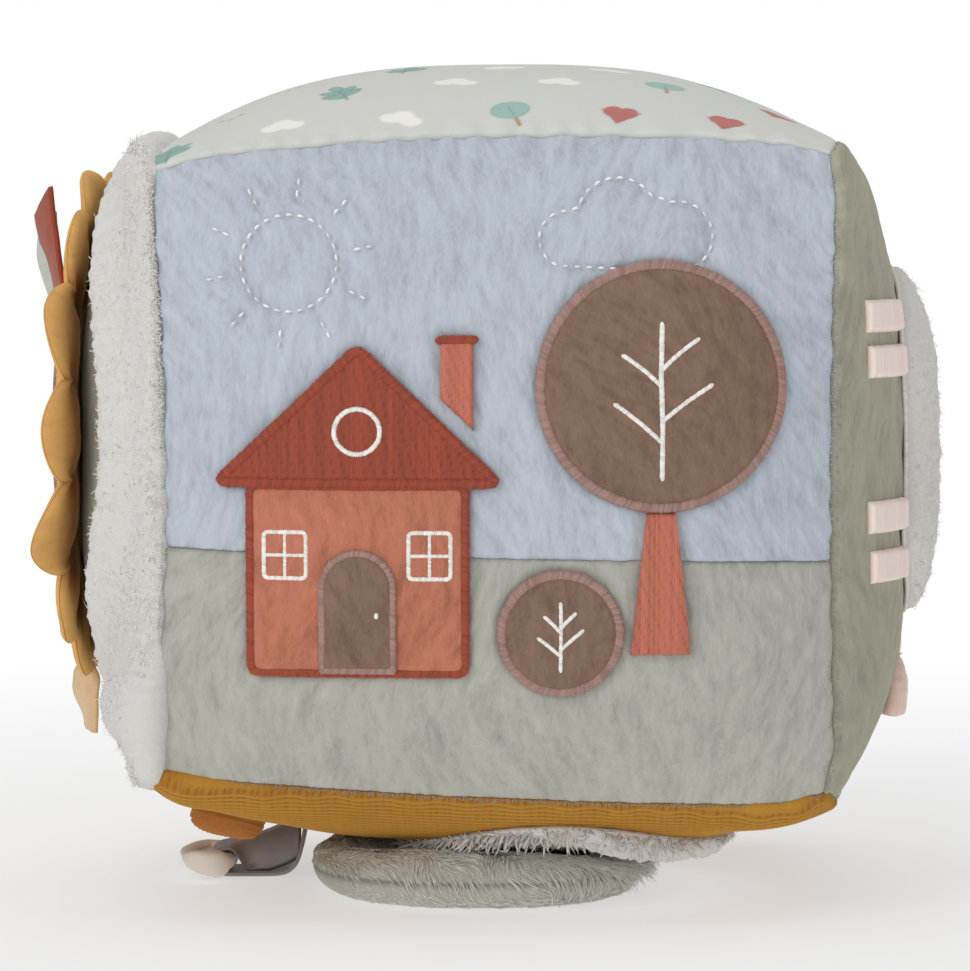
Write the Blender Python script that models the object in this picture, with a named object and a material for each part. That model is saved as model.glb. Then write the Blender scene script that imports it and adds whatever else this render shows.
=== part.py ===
# Soft fabric activity block, about 150 mm across its seams.
# Six cloth panels are sewn over a two-piece wadding core with a rattle capsule in its middle.
# The left side carries a lift-up flower over a mirror, the right side a padded lamb, the front
# a set of cloth patches, and the underside a fluffy patch, a stuffed pad and a ribbon with a teether.
# World frame: +Z up, the front faces -Y, +X is the block's right side, the floor is Z = 0.

import math

import bmesh
import bpy
from mathutils import Matrix, Vector

for ob in list(bpy.data.objects):
    bpy.data.objects.remove(ob, do_unlink=True)

MM = 0.001

# ---------------------------------------------------------------- driving dimensions (mm)
BLOCK_Z = 87.0            # height of the block's centre above the floor
HALF = 66.0               # half edge of the sewn cube at its corners
CROWN_FRONT = 78.5        # centre of each face, measured from the block's centre
CROWN_BACK = 78.5
CROWN_TOP = 78.0
CROWN_BOTTOM = 77.2
CROWN_RIGHT = 82.5
CROWN_LEFT = 80.0
# fullness of the pillow shape along u and v of each face (2 is round, 4 is boxy)
CROWN_POWER = {"front": (3, 3), "back": (3, 3), "top": (3, 3), "bottom": (4, 3), "right": (4, 4), "left": (3, 3)}
CLOTH = 2.0               # panel thickness, pile included
SHERPA = 3.0              # thickness of the curly pile panel
FIT = 0.3                 # gap between neighbouring pieces
PANEL_DIV = 10            # grid divisions of one panel
HORIZON_V = -0.256        # where sky cloth and meadow cloth meet on the front

CAPSULE_R = 14.0          # rattle capsule
CAPSULE_WALL = 1.4
BEAD_R = 4.0
BEAD_TRAVEL = 16.0

FLOWER_Y, FLOWER_Z = 0.0, 6.0     # flower centre on the left side, from the block's centre
FLOWER_R = 51.5                   # petal tips
FLOWER_NOTCH = 45.5               # notches between petals
PETALS = 14
# how far the petals' tips bend away from the block, by their angle in degrees (0 points to the block's front)
FLOWER_CURL = ((-180, 3.0), (-154, 2.0), (-129, 2.0), (-103, 2.0), (-77, 2.2), (-51, 3.1), (-26, 10.3), (0, 10.0), (26, 8.0),
               (51, 4.4), (77, 8.0), (90, 6.0), (103, 4.5), (129, 2.5), (154, 2.0), (180, 3.0))
CURL_FROM = 26.0                  # radius at which the petals begin to bend
HINGE_X, HINGE_Z = -74.5, 58.5    # line along Y that the flower is sewn on

LAMB_Y, LAMB_Z = -12.0, 3.0       # lamb body centre on the right side
LAMB_RY, LAMB_RZ = 32.0, 34.0
LAMB_RISE = 7.4

PAD_X, PAD_Y = -3.0, -9.0         # stuffed pad below the block
PAD_RX, PAD_RY = 33.0, 40.5

# ---------------------------------------------------------------- materials
def material(name, rgb, rough, metal=0.0):
    m = bpy.data.materials.new(name)
    m.use_nodes = True
    b = m.node_tree.nodes["Principled BSDF"]
    b.inputs["Base Color"].default_value = (rgb[0], rgb[1], rgb[2], 1.0)
    b.inputs["Roughness"].default_value = rough
    b.inputs["Metallic"].default_value = metal
    return m


SKY = material("sky_velboa", (0.50, 0.57, 0.66), 0.95)
MEADOW = material("meadow_velboa", (0.47, 0.49, 0.42), 0.95)
SAGE = material("sage_velboa", (0.36, 0.37, 0.31), 0.95)
SHERPA_WHITE = material("white_sherpa", (0.70, 0.68, 0.64), 1.0)
PRINT_COTTON = material("printed_cotton", (0.62, 0.63, 0.58), 0.9)
WAFFLE = material("mustard_waffle", (0.58, 0.30, 0.03), 0.9)
CLAY_CORD = material("clay_corduroy", (0.50, 0.24, 0.17), 0.95)
TERRACOTTA = material("terracotta_plush", (0.52, 0.19, 0.12), 0.95)
RUST = material("rust_satin", (0.36, 0.06, 0.02), 0.6)
BROWN = material("brown_plush", (0.20, 0.13, 0.10), 0.95)
MUSTARD = material("mustard_velvet", (0.58, 0.33, 0.11), 0.9)
PEACH = material("peach_ribbon", (0.66, 0.42, 0.24), 0.7)
SAGE_RIBBON = material("sage_ribbon", (0.45, 0.48, 0.43), 0.6)
RUST_RIBBON = material("rust_ribbon", (0.28, 0.05, 0.02), 0.6)
GREY_RIBBON = material("grey_satin_ribbon", (0.25, 0.23, 0.22), 0.45)
PINK = material("pink_velvet", (0.60, 0.42, 0.36), 0.9)
LEG_PINK = material("leg_thread", (0.62, 0.50, 0.43), 0.8)
FOAM_WHITE = material("wadding", (0.80, 0.80, 0.78), 1.0)
MIRROR = material("safety_mirror", (0.85, 0.87, 0.88), 0.05, 1.0)
FILM = material("crinkle_film", (0.75, 0.76, 0.78), 0.3)
PLASTIC = material("capsule_plastic", (0.75, 0.76, 0.74), 0.4)
SQUEAK = material("squeaker_plastic", (0.82, 0.82, 0.80), 0.45)
BEAD = material("bead_plastic", (0.35, 0.40, 0.42), 0.35)
TEETHER = material("teether_silicone", (0.62, 0.56, 0.50), 0.5)

# ---------------------------------------------------------------- the pillow-shaped cube
# corners by the signs of X, Y and Z; the front left ones sit a little closer to the middle
CORNER = {
    (-1, -1, -1): Vector((-65.0, -HALF, -58.8)),
    (1, -1, -1): Vector((66.0, -HALF, -64.6)),
    (-1, -1, 1): Vector((-65.4, -HALF, 57.8)),
    (1, -1, 1): Vector((66.0, -HALF, 60.8)),
    (-1, 1, -1): Vector((-64.5, HALF, -60.5)),
    (1, 1, -1): Vector((65.5, HALF, -62.0)),
    (-1, 1, 1): Vector((-64.5, HALF, 60.0)),
    (1, 1, 1): Vector((65.5, HALF, 60.5)),
}
# how far the middle of each seam lies from the straight line between its corners
BOW = {
    ((-1, -1, 1), (1, -1, 1)): Vector((0.0, 1.5, 3.6)),
    ((-1, -1, -1), (1, -1, -1)): Vector((0.0, 1.5, -2.0)),
    ((-1, -1, -1), (-1, -1, 1)): Vector((2.8, 1.5, 0.0)),
    ((1, -1, -1), (1, -1, 1)): Vector((-1.2, 1.5, 0.0)),
    ((-1, 1, 1), (1, 1, 1)): Vector((0.0, -1.5, 2.5)),
    ((-1, 1, -1), (1, 1, -1)): Vector((0.0, -1.5, -1.5)),
    ((-1, 1, -1), (-1, 1, 1)): Vector((1.5, -1.5, 0.0)),
    ((1, 1, -1), (1, 1, 1)): Vector((-0.5, -1.5, 0.0)),
    ((-1, -1, 1), (-1, 1, 1)): Vector((0.5, 0.0, 2.6)),
    ((1, -1, 1), (1, 1, 1)): Vector((1.2, 0.0, 1.6)),
    ((-1, -1, -1), (-1, 1, -1)): Vector((0.5, 0.0, -2.2)),
    ((1, -1, -1), (1, 1, -1)): Vector((1.2, 0.0, -1.0)),
}
# face name: (fixed axis, sign, u axis, v axis, centre height)
FACE = {
    "front": (1, -1, 0, 2, CROWN_FRONT),
    "back": (1, 1, 0, 2, CROWN_BACK),
    "top": (2, 1, 0, 1, CROWN_TOP),
    "bottom": (2, -1, 0, 1, CROWN_BOTTOM),
    "right": (0, 1, 1, 2, CROWN_RIGHT),
    "left": (0, -1, 1, 2, CROWN_LEFT),
}


def seam_point(a, b, t, inset):
    pa = CORNER[a] - inset * Vector(a)
    pb = CORNER[b] - inset * Vector(b)
    bow = BOW[(a, b)] if (a, b) in BOW else BOW[(b, a)]
    return pa * (1 - t) / 2 + pb * (1 + t) / 2 + bow * (1 - t * t)


def corner_key(axis, sign, ua, va, su, sv):
    k = [0, 0, 0]
    k[axis], k[ua], k[va] = sign, su, sv
    return tuple(k)


def coons(face, u, v, inset):
    axis, sign, ua, va, crown = FACE[face]
    k = {(su, sv): corner_key(axis, sign, ua, va, su, sv) for su in (-1, 1) for sv in (-1, 1)}
    c = {s: CORNER[k[s]] - inset * Vector(k[s]) for s in k}
    west = seam_point(k[(-1, -1)], k[(-1, 1)], v, inset)
    east = seam_point(k[(1, -1)], k[(1, 1)], v, inset)
    south = seam_point(k[(-1, -1)], k[(1, -1)], u, inset)
    north = seam_point(k[(-1, 1)], k[(1, 1)], u, inset)
    p = west * (1 - u) / 2 + east * (1 + u) / 2 + south * (1 - v) / 2 + north * (1 + v) / 2
    p -= c[(-1, -1)] * (1 - u) * (1 - v) / 4 + c[(1, -1)] * (1 + u) * (1 - v) / 4
    p -= c[(-1, 1)] * (1 - u) * (1 + v) / 4 + c[(1, 1)] * (1 + u) * (1 + v) / 4
    return p


def surface(face, u, v, inset=0.0):
    """Point of the pillow surface from the block's centre, moved inwards by inset."""
    axis, sign, ua, va, crown = FACE[face]
    p = coons(face, u, v, inset)
    rise = crown - sign * coons(face, 0.0, 0.0, 0.0)[axis]
    pu, pv = CROWN_POWER[face]
    if face == "right" and v > 0:
        pv = 3                # the upper half is rounder than the lower half
    full = (1 - abs(u) ** pu) * (1 - abs(v) ** pv)
    p[axis] += sign * rise * full
    return p


def locate(face, a, b):
    """u and v of the surface point whose in-plane coordinates are a and b."""
    ua, va = FACE[face][2], FACE[face][3]
    u, v = a / 65.0, b / 62.0
    for _ in range(12):
        p = surface(face, u, v)
        u += (a - p[ua]) / 65.0
        v += (b - p[va]) / 62.0
    return u, v


def on_face(face, a, b, off):
    """World point above the surface at in-plane coordinates a, b, at off along its normal."""
    axis, sign = FACE[face][0], FACE[face][1]
    u, v = locate(face, a, b)
    p = surface(face, u, v)
    du = surface(face, u + 0.01, v) - surface(face, u - 0.01, v)
    dv = surface(face, u, v + 0.01) - surface(face, u, v - 0.01)
    n = du.cross(dv).normalized()
    if n[axis] * sign < 0:
        n = -n
    return p + n * off + Vector((0, 0, BLOCK_Z))


# ---------------------------------------------------------------- mesh helpers
def finish(name, bm, mat, origin=(0.0, 0.0, BLOCK_Z), smooth=True, parent=None):
    """Turns a mesh given in world millimetres into an object with its origin where stated."""
    bmesh.ops.recalc_face_normals(bm, faces=bm.faces)
    if bm.calc_volume(signed=True) < 0:
        bmesh.ops.reverse_faces(bm, faces=bm.faces)
    o = Vector(origin)
    for v in bm.verts:
        v.co = (v.co - o) * MM
    me = bpy.data.meshes.new(name)
    bm.to_mesh(me)
    bm.free()
    if smooth:
        me.shade_smooth()
        me.set_sharp_from_angle(angle=math.radians(50))
    me.materials.append(mat)
    ob = bpy.data.objects.new(name, me)
    bpy.context.scene.collection.objects.link(ob)
    ob.location = o * MM
    if parent is not None:
        ob.parent = parent
        ob.location = o * MM - parent.location
    return ob


def axis_empty(name, at):
    e = bpy.data.objects.new(name, None)
    e.empty_display_size = 0.02
    e.location = Vector(at) * MM
    bpy.context.scene.collection.objects.link(e)
    return e


def panel(name, face, mat, thick, u0=-1.0, u1=1.0, v0=-1.0, v1=1.0, nu=PANEL_DIV, nv=PANEL_DIV):
    """One sewn panel: a grid on the pillow surface, extruded inwards, mitred at the seams."""
    g = FIT * 0.9 / HALF
    u0, u1, v0, v1 = u0 + g, u1 - g, v0 + g, v1 - g
    bm = bmesh.new()
    bmesh.ops.create_grid(bm, x_segments=nu, y_segments=nv, size=1.0)
    outer = list(bm.verts)
    uv = {}
    for v in outer:
        # finer cells towards the seams, where the cloth turns most
        s = math.sin(v.co.x * math.pi / 2) * 0.35 + v.co.x * 0.65
        t = math.sin(v.co.y * math.pi / 2) * 0.35 + v.co.y * 0.65
        uv[v] = (u0 + (s + 1) / 2 * (u1 - u0), v0 + (t + 1) / 2 * (v1 - v0))
    ext = bmesh.ops.extrude_face_region(bm, geom=list(bm.faces))
    lower = [e for e in ext["geom"] if isinstance(e, bmesh.types.BMVert)]
    at = {(round(v.co.x, 5), round(v.co.y, 5)): uv[v] for v in outer}
    for v in lower:
        uu, vv = at[(round(v.co.x, 5), round(v.co.y, 5))]
        v.co = surface(face, uu, vv, thick) + Vector((0, 0, BLOCK_Z))
    for v in outer:
        uu, vv = uv[v]
        v.co = surface(face, uu, vv, 0.0) + Vector((0, 0, BLOCK_Z))
    return finish(name, bm, mat)


def ring_solid(name, rings, mat, start=None, end=None, cyclic=False, **kw):
    """Closed body from rings of equal point count, with a pole at each end or closed round."""
    bm = bmesh.new()
    vr = [[bm.verts.new(p) for p in ring] for ring in rings]
    n = len(vr[0])
    pairs = list(zip(vr[:-1], vr[1:]))
    if cyclic:
        pairs.append((vr[-1], vr[0]))
    for a, b in pairs:
        for i in range(n):
            j = (i + 1) % n
            bm.faces.new((a[i], a[j], b[j], b[i]))
    for pole, ring in ((start, vr[0]), (end, vr[-1])):
        if pole is not None:
            c = bm.verts.new(pole)
            for i in range(n):
                bm.faces.new((ring[i], ring[(i + 1) % n], c))
    return finish(name, bm, mat, **kw)


def circle(cx, cy, r, n=32):
    return [(cx + r * math.cos(2 * math.pi * i / n), cy + r * math.sin(2 * math.pi * i / n)) for i in range(n)]


def scaled(outline, centre, s):
    return [(centre[0] + (a - centre[0]) * s, centre[1] + (b - centre[1]) * s) for a, b in outline]


def polyline(points, step):
    """Closed outline through the given corners with extra points along long edges."""
    out = []
    for i, (a, b) in enumerate(points):
        c, d = points[(i + 1) % len(points)]
        k = max(1, int(math.hypot(c - a, d - b) / step + 0.5))
        out += [(a + (c - a) * j / k, b + (d - b) * j / k) for j in range(k)]
    return out


def patch(name, face, outline, centre, mat, low, high, rings=3, soft=0.5, **kw):
    """Cloth patch that follows a face: a low side, a high side and a slightly rounded edge."""
    steps = [k / rings for k in range(1, rings + 1)]
    rr = [[on_face(face, a, b, low) for a, b in scaled(outline, centre, s)] for s in steps]
    top = [[on_face(face, a, b, high if s < 1 else high - soft) for a, b in scaled(outline, centre, s)]
           for s in reversed(steps)]
    return ring_solid(name, rr + top, mat, start=on_face(face, centre[0], centre[1], low),
                      end=on_face(face, centre[0], centre[1], high), **kw)


def lathe(name, profile, centre, axis_dir, mat, n=24, cyclic=False, start=None, end=None, **kw):
    """Turned body: profile of (radius, height) along axis_dir through centre."""
    d = Vector(axis_dir).normalized()
    q = d.to_track_quat("Z", "Y")
    c = Vector(centre)
    rings = []
    for r, h in profile:
        rings.append([c + q @ Vector((r * math.cos(2 * math.pi * i / n), r * math.sin(2 * math.pi * i / n), h))
                      for i in range(n)])
    s = c + d * start if start is not None else None
    e = c + d * end if end is not None else None
    return ring_solid(name, rings, mat, start=s, end=e, cyclic=cyclic, **kw)


# ---------------------------------------------------------------- panels
panel("front_sky_panel", "front", SKY, CLOTH, v0=HORIZON_V, nv=8)
panel("front_meadow_panel", "front", MEADOW, CLOTH, v1=HORIZON_V, nv=5)
panel("top_panel", "top", PRINT_COTTON, CLOTH)
panel("right_panel", "right", SAGE, CLOTH)
panel("left_panel", "left", SHERPA_WHITE, SHERPA)
panel("bottom_panel", "bottom", WAFFLE, CLOTH)
panel("back_panel", "back", CLAY_CORD, CLOTH)

# ---------------------------------------------------------------- wadding core in two halves
CORE_DEPTH = SHERPA + FIT
sphere_mesh = bpy.data.meshes.new("capsule_pocket")
bm = bmesh.new()
bmesh.ops.create_uvsphere(bm, u_segments=20, v_segments=12, radius=(CAPSULE_R + FIT) * MM)
bm.to_mesh(sphere_mesh)
bm.free()
pocket = bpy.data.objects.new("capsule_pocket", sphere_mesh)
bpy.context.scene.collection.objects.link(pocket)
pocket.location = (0, 0, BLOCK_Z * MM)
pocket.rotation_euler = (math.radians(90), 0, 0)
pocket.hide_render = True
pocket.display_type = "WIRE"


def core_half(name, side):
    bm = bmesh.new()
    for face in FACE:
        axis, sign, ua, va, crown = FACE[face]
        div = PANEL_DIV
        grid = [[None] * (div + 1) for _ in range(div + 1)]
        for i in range(div + 1):
            for j in range(div + 1):
                u, v = -1 + 2 * i / div, -1 + 2 * j / div
                u = 0.35 * math.sin(u * math.pi / 2) + 0.65 * u
                v = 0.35 * math.sin(v * math.pi / 2) + 0.65 * v
                grid[i][j] = bm.verts.new(surface(face, u, v, CORE_DEPTH) + Vector((0, 0, BLOCK_Z)))
        for i in range(div):
            for j in range(div):
                bm.faces.new((grid[i][j], grid[i + 1][j], grid[i + 1][j + 1], grid[i][j + 1]))
    bmesh.ops.remove_doubles(bm, verts=bm.verts, dist=0.01)
    bmesh.ops.recalc_face_normals(bm, faces=bm.faces)
    cut = side * FIT / 2
    res = bmesh.ops.bisect_plane(bm, geom=list(bm.verts) + list(bm.edges) + list(bm.faces), plane_co=(0, cut, 0),
                                 plane_no=(0, -side, 0), clear_outer=True, dist=0.0001)
    rim = [e for e in res["geom_cut"] if isinstance(e, bmesh.types.BMEdge)]
    bmesh.ops.contextual_create(bm, geom=rim)
    ob = finish(name, bm, FOAM_WHITE, origin=(0, 0, BLOCK_Z), smooth=False)
    cutter = ob.modifiers.new("capsule_pocket", "BOOLEAN")
    cutter.operation = "DIFFERENCE"
    cutter.object = pocket
    return ob


core_half("core_front_half", -1)
core_half("core_rear_half", 1)

# ---------------------------------------------------------------- rattle capsule
def capsule_half(name, side):
    prof = []
    steps = 5
    for k in range(steps + 1):
        a = math.radians(90 * k / steps)
        prof.append((CAPSULE_R * math.cos(a), FIT / 2 + CAPSULE_R * math.sin(a)))
    outer_pole = prof.pop()[1]
    inner_r = CAPSULE_R - CAPSULE_WALL
    inner = []
    for k in range(steps + 1):
        a = math.radians(90 * k / steps)
        inner.append((inner_r * math.cos(a), FIT / 2 + inner_r * math.sin(a)))
    inner_pole = inner.pop()[1]
    prof = [(r, min(h, CAPSULE_R - 0.15)) for r, h in prof]
    rings = list(reversed(inner)) + prof
    return lathe(name, rings, (0, 0, BLOCK_Z), (0, side, 0), PLASTIC, n=16,
                 start=inner_pole, end=outer_pole - 0.15)


capsule_half("rattle_shell_front", -1)
capsule_half("rattle_shell_rear", 1)

bead_z = BLOCK_Z - (CAPSULE_R - CAPSULE_WALL - BEAD_R - 0.5)
bm = bmesh.new()
bmesh.ops.create_icosphere(bm, subdivisions=2, radius=BEAD_R, matrix=Matrix.Translation((0, 0, bead_z)))
finish("rattle_bead", bm, BEAD, origin=(0, 0, bead_z))

# ---------------------------------------------------------------- cloth patches on the front
def arch(x0, x1, z0, spring, n=8):
    r = (x1 - x0) / 2
    pts = [(x0, z0), (x1, z0), (x1, spring)]
    for k in range(1, n):
        a = math.pi * k / n
        pts.append((x0 + r + r * math.cos(a), spring + r * math.sin(a)))
    pts.append((x0, spring))
    return pts


wall = polyline([(-45, -38), (-5, -38), (-5, -3), (-45, -3)], 7.0)
patch("house_wall_patch", "front", wall, (-25, -20.5), TERRACOTTA, FIT, 1.7, rings=4)
roof = polyline([(-51, -2.4), (1, -2.4), (-25, 22.5)], 6.5)
patch("house_roof_patch", "front", roof, (-25, 5.5), RUST, FIT, 1.9, rings=4)
chimney = polyline([(-9.5, 13.5), (-3.5, 7.8), (-3.5, 24), (-9.5, 24)], 5.0)
patch("house_chimney_patch", "front", chimney, (-6.5, 17.5), TERRACOTTA, FIT, 1.6, rings=2)
door = arch(-31.5, -18.5, -37.2, -22.0)
patch("house_door_patch", "front", polyline(door, 5.0), (-25, -27.5), BROWN, 2.0, 3.2, rings=2)
patch("tree_crown_patch", "front", circle(31.5, 15.5, 22.5, 32), (31.5, 15.5), BROWN, FIT, 1.9, rings=3)
trunk = polyline([(26.0, -34.5), (37.0, -34.5), (34.2, -8.2), (28.8, -8.2)], 6.0)
patch("tree_trunk_patch", "front", trunk, (31.5, -20.0), TERRACOTTA, FIT, 1.6, rings=2)
patch("bush_patch", "front", circle(12.8, -30.5, 11.0, 24), (12.8, -30.5), BROWN, FIT, 1.8, rings=2)

# ---------------------------------------------------------------- left side: mirror under a lift-up flower
ring_rows = []
for r, off in ((27.6, FIT), (37.0, FIT), (46.5, FIT), (47.0, 1.2), (46.0, 2.0), (37.0, 2.0), (28.0, 2.0), (27.3, 1.2)):
    ring_rows.append([on_face("left", a, b, off) for a, b in circle(FLOWER_Y, FLOWER_Z, r, 32)])
ring_solid("mirror_ring", ring_rows, SAGE, cyclic=True)
patch("mirror", "left", circle(FLOWER_Y, FLOWER_Z, 26.8, 32), (FLOWER_Y, FLOWER_Z), MIRROR, FIT, 1.5, rings=2, soft=0.2)

flap = axis_empty("flower_flap_axis", (HINGE_X, 0, BLOCK_Z + HINGE_Z))


def petal_radius(a):
    """Scalloped outline; angle 0 points to the block's front."""
    w = abs(math.cos(a * PETALS / 2))
    return FLOWER_NOTCH + (FLOWER_R - FLOWER_NOTCH) * w ** 0.6


def tip_curl(a):
    """How far a petal tip at angle a stands off, smoothly between the listed angles."""
    deg = (math.degrees(a) + 180.0) % 360.0 - 180.0
    for (d0, c0), (d1, c1) in zip(FLOWER_CURL[:-1], FLOWER_CURL[1:]):
        if d0 <= deg <= d1:
            t = (deg - d0) / (d1 - d0)
            return c0 + (c1 - c0) * t * t * (3 - 2 * t)
    return FLOWER_CURL[0][1]


def flap_point(r, a, off):
    """Point of the flower at radius r, angle a, at off outside the left panel."""
    y = FLOWER_Y - r * math.cos(a)
    z = FLOWER_Z + r * math.sin(a)
    u, v = locate("left", max(-64.0, min(64.0, y)), z)
    x = surface("left", u, v)[0]
    curl = tip_curl(a) * max(0.0, (r - CURL_FROM) / (FLOWER_R - CURL_FROM)) ** 3.6
    return Vector((x - off - curl, y, z + BLOCK_Z))


FLOWER_RINGS = (15.0, 28.0, 35.0, 40.5)   # shared by the layers, so that their facets run side by side


def flower_layer(name, mat, low, high, edge, soft, n=PETALS * 4, rings=FLOWER_RINGS):
    """One layer of the flower; edge(a) is its outline's radius at angle a."""
    angles = [2 * math.pi * i / n for i in range(n)]
    rows = [[flap_point(r, a, low) for a in angles] for r in rings]
    rows.append([flap_point(edge(a), a, low) for a in angles])
    rows.append([flap_point(edge(a), a, high - soft) for a in angles])
    rows += [[flap_point(r, a, high) for a in angles] for r in reversed(rings)]
    return ring_solid(name, rows, mat, start=flap_point(0, 0, low), end=flap_point(0, 0, high),
                      origin=(HINGE_X, 0, BLOCK_Z + HINGE_Z), parent=flap)


flower_layer("flower_back_layer", MUSTARD, 2.6, 3.4, petal_radius, 0.2)
flower_layer("flower_crinkle_film", FILM, 3.8, 4.1, lambda a: 40.5, 0.05, PETALS * 2, FLOWER_RINGS[:3])
flower_layer("flower_wadding", FOAM_WHITE, 4.5, 5.6, lambda a: 40.5, 0.3, PETALS * 2, FLOWER_RINGS[:3])
flower_layer("flower_front_layer", MUSTARD, 6.0, 6.8, petal_radius, 0.2)

disc = [[flap_point(r, a, off) for a in [2 * math.pi * i / 28 for i in range(28)]]
        for r, off in ((7.0, 7.1), (14.0, 7.1), (17.5, 7.3), (16.5, 8.6), (12.0, 9.2), (6.0, 9.4))]
ring_solid("flower_centre", disc, BROWN, start=flap_point(0, 0, 7.1), end=flap_point(0, 0, 9.4),
           origin=(HINGE_X, 0, BLOCK_Z + HINGE_Z), parent=flap)

def strip(name, path, width_dir, width, thick, mat, slant=0.0, ease=1, **kw):
    """Flat ribbon along a path of points, with its flat sides across width_dir, which may change from end to end."""
    pts = [Vector(p) for p in path]
    bm = bmesh.new()
    rows = []
    for i, p in enumerate(pts):
        t = (pts[min(i + 1, len(pts) - 1)] - pts[max(i - 1, 0)]).normalized()
        f = (i / (len(pts) - 1)) ** ease
        w = (Vector(width_dir[0]) * (1 - f) + Vector(width_dir[1]) * f).normalized() if isinstance(width_dir[0], tuple) else Vector(width_dir).normalized()
        nrm = t.cross(w).normalized()
        s = slant * (i / (len(pts) - 1)) ** 2
        a = p - w * width / 2 - t * s
        b = p + w * width / 2 + t * s
        rows.append([bm.verts.new(q) for q in (a - nrm * thick / 2, b - nrm * thick / 2, b + nrm * thick / 2, a + nrm * thick / 2)])
    for a, b in zip(rows[:-1], rows[1:]):
        for i in range(4):
            bm.faces.new((a[i], a[(i + 1) % 4], b[(i + 1) % 4], b[i]))
    bm.faces.new(rows[0])
    bm.faces.new(list(reversed(rows[-1])))
    return finish(name, bm, mat, **kw)


# the pull tab comes out between the two cloth layers at the lowest notch and hangs straight down
tab_path = []
for r in (44.6, 47.0, 50.0, 53.5, 58.0, 62.5):
    q = flap_point(min(r, 50.0), -math.pi / 2, 4.7)
    tab_path.append((q[0] - 0.2 * max(0.0, r - 51.5), 0.0, BLOCK_Z + FLOWER_Z - r))
strip("flower_pull_tab", tab_path, ((0, 1, 0), (-0.30, 0.954, 0)), 15.0, 1.0, PEACH, ease=3, origin=(HINGE_X, 0, BLOCK_Z + HINGE_Z), parent=flap)

# two ribbon tags sewn on the flower above its front petals; they stand up past the petals' edge and twist a little
TAG_ROOT = Vector((-86.8, -29.0, BLOCK_Z + 30.0))
TAG_WIDTH = ((0.30, -0.954, 0.0), (0.52, -0.854, 0.0))
TAG_OUT = Vector((-0.954, -0.30, 0.0))
TAG2_ROOT = TAG_ROOT + TAG_OUT * 1.7
rust_path = [TAG_ROOT + TAG_OUT * (1.2 * t * t) + Vector((0, 0, 20.5 * t)) for t in [k / 6 for k in range(7)]]
strip("rust_ribbon_tag", rust_path, TAG_WIDTH, 8.5, 0.9, RUST_RIBBON, slant=2.8, origin=TAG_ROOT)
sage_path = [TAG2_ROOT + TAG_OUT * (1.4 * t * t) + Vector((0, 0, 12.5 * t)) for t in [k / 5 for k in range(6)]]
strip("sage_ribbon_tag", sage_path, TAG_WIDTH, 7.6, 0.8, SAGE_RIBBON, slant=1.2, origin=TAG2_ROOT)

# ---------------------------------------------------------------- right side: padded lamb, head at the lower end
def lamb_outline(scale=1.0, n=32):
    pts = []
    for i in range(n):
        a = 2 * math.pi * i / n
        lobe = 1.0 + 0.045 * abs(math.cos(4 * a + 0.4)) - 0.02
        belly = 0.26 * math.exp(-((a - math.pi) / 0.42) ** 2)     # the belly draws in between the legs
        pts.append((LAMB_Y + scale * LAMB_RY * (lobe - belly) * math.copysign(abs(math.cos(a)) ** 0.9, math.cos(a)),
                    LAMB_Z + scale * LAMB_RZ * lobe * math.copysign(abs(math.sin(a)) ** 0.9, math.sin(a))))
    return pts


def lamb_rise(s):
    return 1.6 + (LAMB_RISE - 1.6) * (1 - s ** 3.2) ** 0.6


cover = []
inside = (0.35, 0.65, 0.85, 0.955)
outside = (1.0, 0.96, 0.86, 0.66, 0.36)
for s in inside:
    cover.append([on_face("right", a, b, max(FIT, lamb_rise(s) - 1.4)) for a, b in lamb_outline(s)])
cover.append([on_face("right", a, b, FIT) for a, b in lamb_outline(0.962)])
cover.append([on_face("right", a, b, FIT) for a, b in lamb_outline(1.0)])
for s in outside:
    cover.append([on_face("right", a, b, lamb_rise(s)) for a, b in lamb_outline(s)])
ring_solid("lamb_body_cover", cover, SHERPA_WHITE, start=on_face("right", LAMB_Y, LAMB_Z, LAMB_RISE - 1.4),
           end=on_face("right", LAMB_Y, LAMB_Z, LAMB_RISE))

POCKET_R = 12.5
filling = []
filling.append([on_face("right", a, b, 4.6) for a, b in circle(LAMB_Y, LAMB_Z, POCKET_R * 0.55, 32)])
filling.append([on_face("right", a, b, 4.6) for a, b in circle(LAMB_Y, LAMB_Z, POCKET_R, 32)])
filling.append([on_face("right", a, b, FIT) for a, b in circle(LAMB_Y, LAMB_Z, POCKET_R, 32)])
filling.append([on_face("right", a, b, FIT) for a, b in lamb_outline(0.66)])
filling.append([on_face("right", a, b, FIT) for a, b in lamb_outline(0.88)])
for s in (0.885, 0.80, 0.62, 0.36):
    filling.append([on_face("right", a, b, lamb_rise(s + 0.03) - 1.4 - FIT - 0.15) for a, b in lamb_outline(s)])
ring_solid("lamb_wadding", filling, FOAM_WHITE, start=on_face("right", LAMB_Y, LAMB_Z, 4.6),
           end=on_face("right", LAMB_Y, LAMB_Z, LAMB_RISE - 1.4 - FIT - 0.15))

squeak_at = on_face("right", LAMB_Y, LAMB_Z, 0.7)
squeak_axis = (on_face("right", LAMB_Y, LAMB_Z, 5.0) - squeak_at).normalized()
lathe("squeaker", [(1.5, 0.0), (11.0, 0.0), (11.8, 0.6), (11.8, 2.0), (10.8, 2.9), (4.0, 3.3), (1.5, 3.3)],
      squeak_at, squeak_axis, SQUEAK, n=24, cyclic=True)

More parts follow.
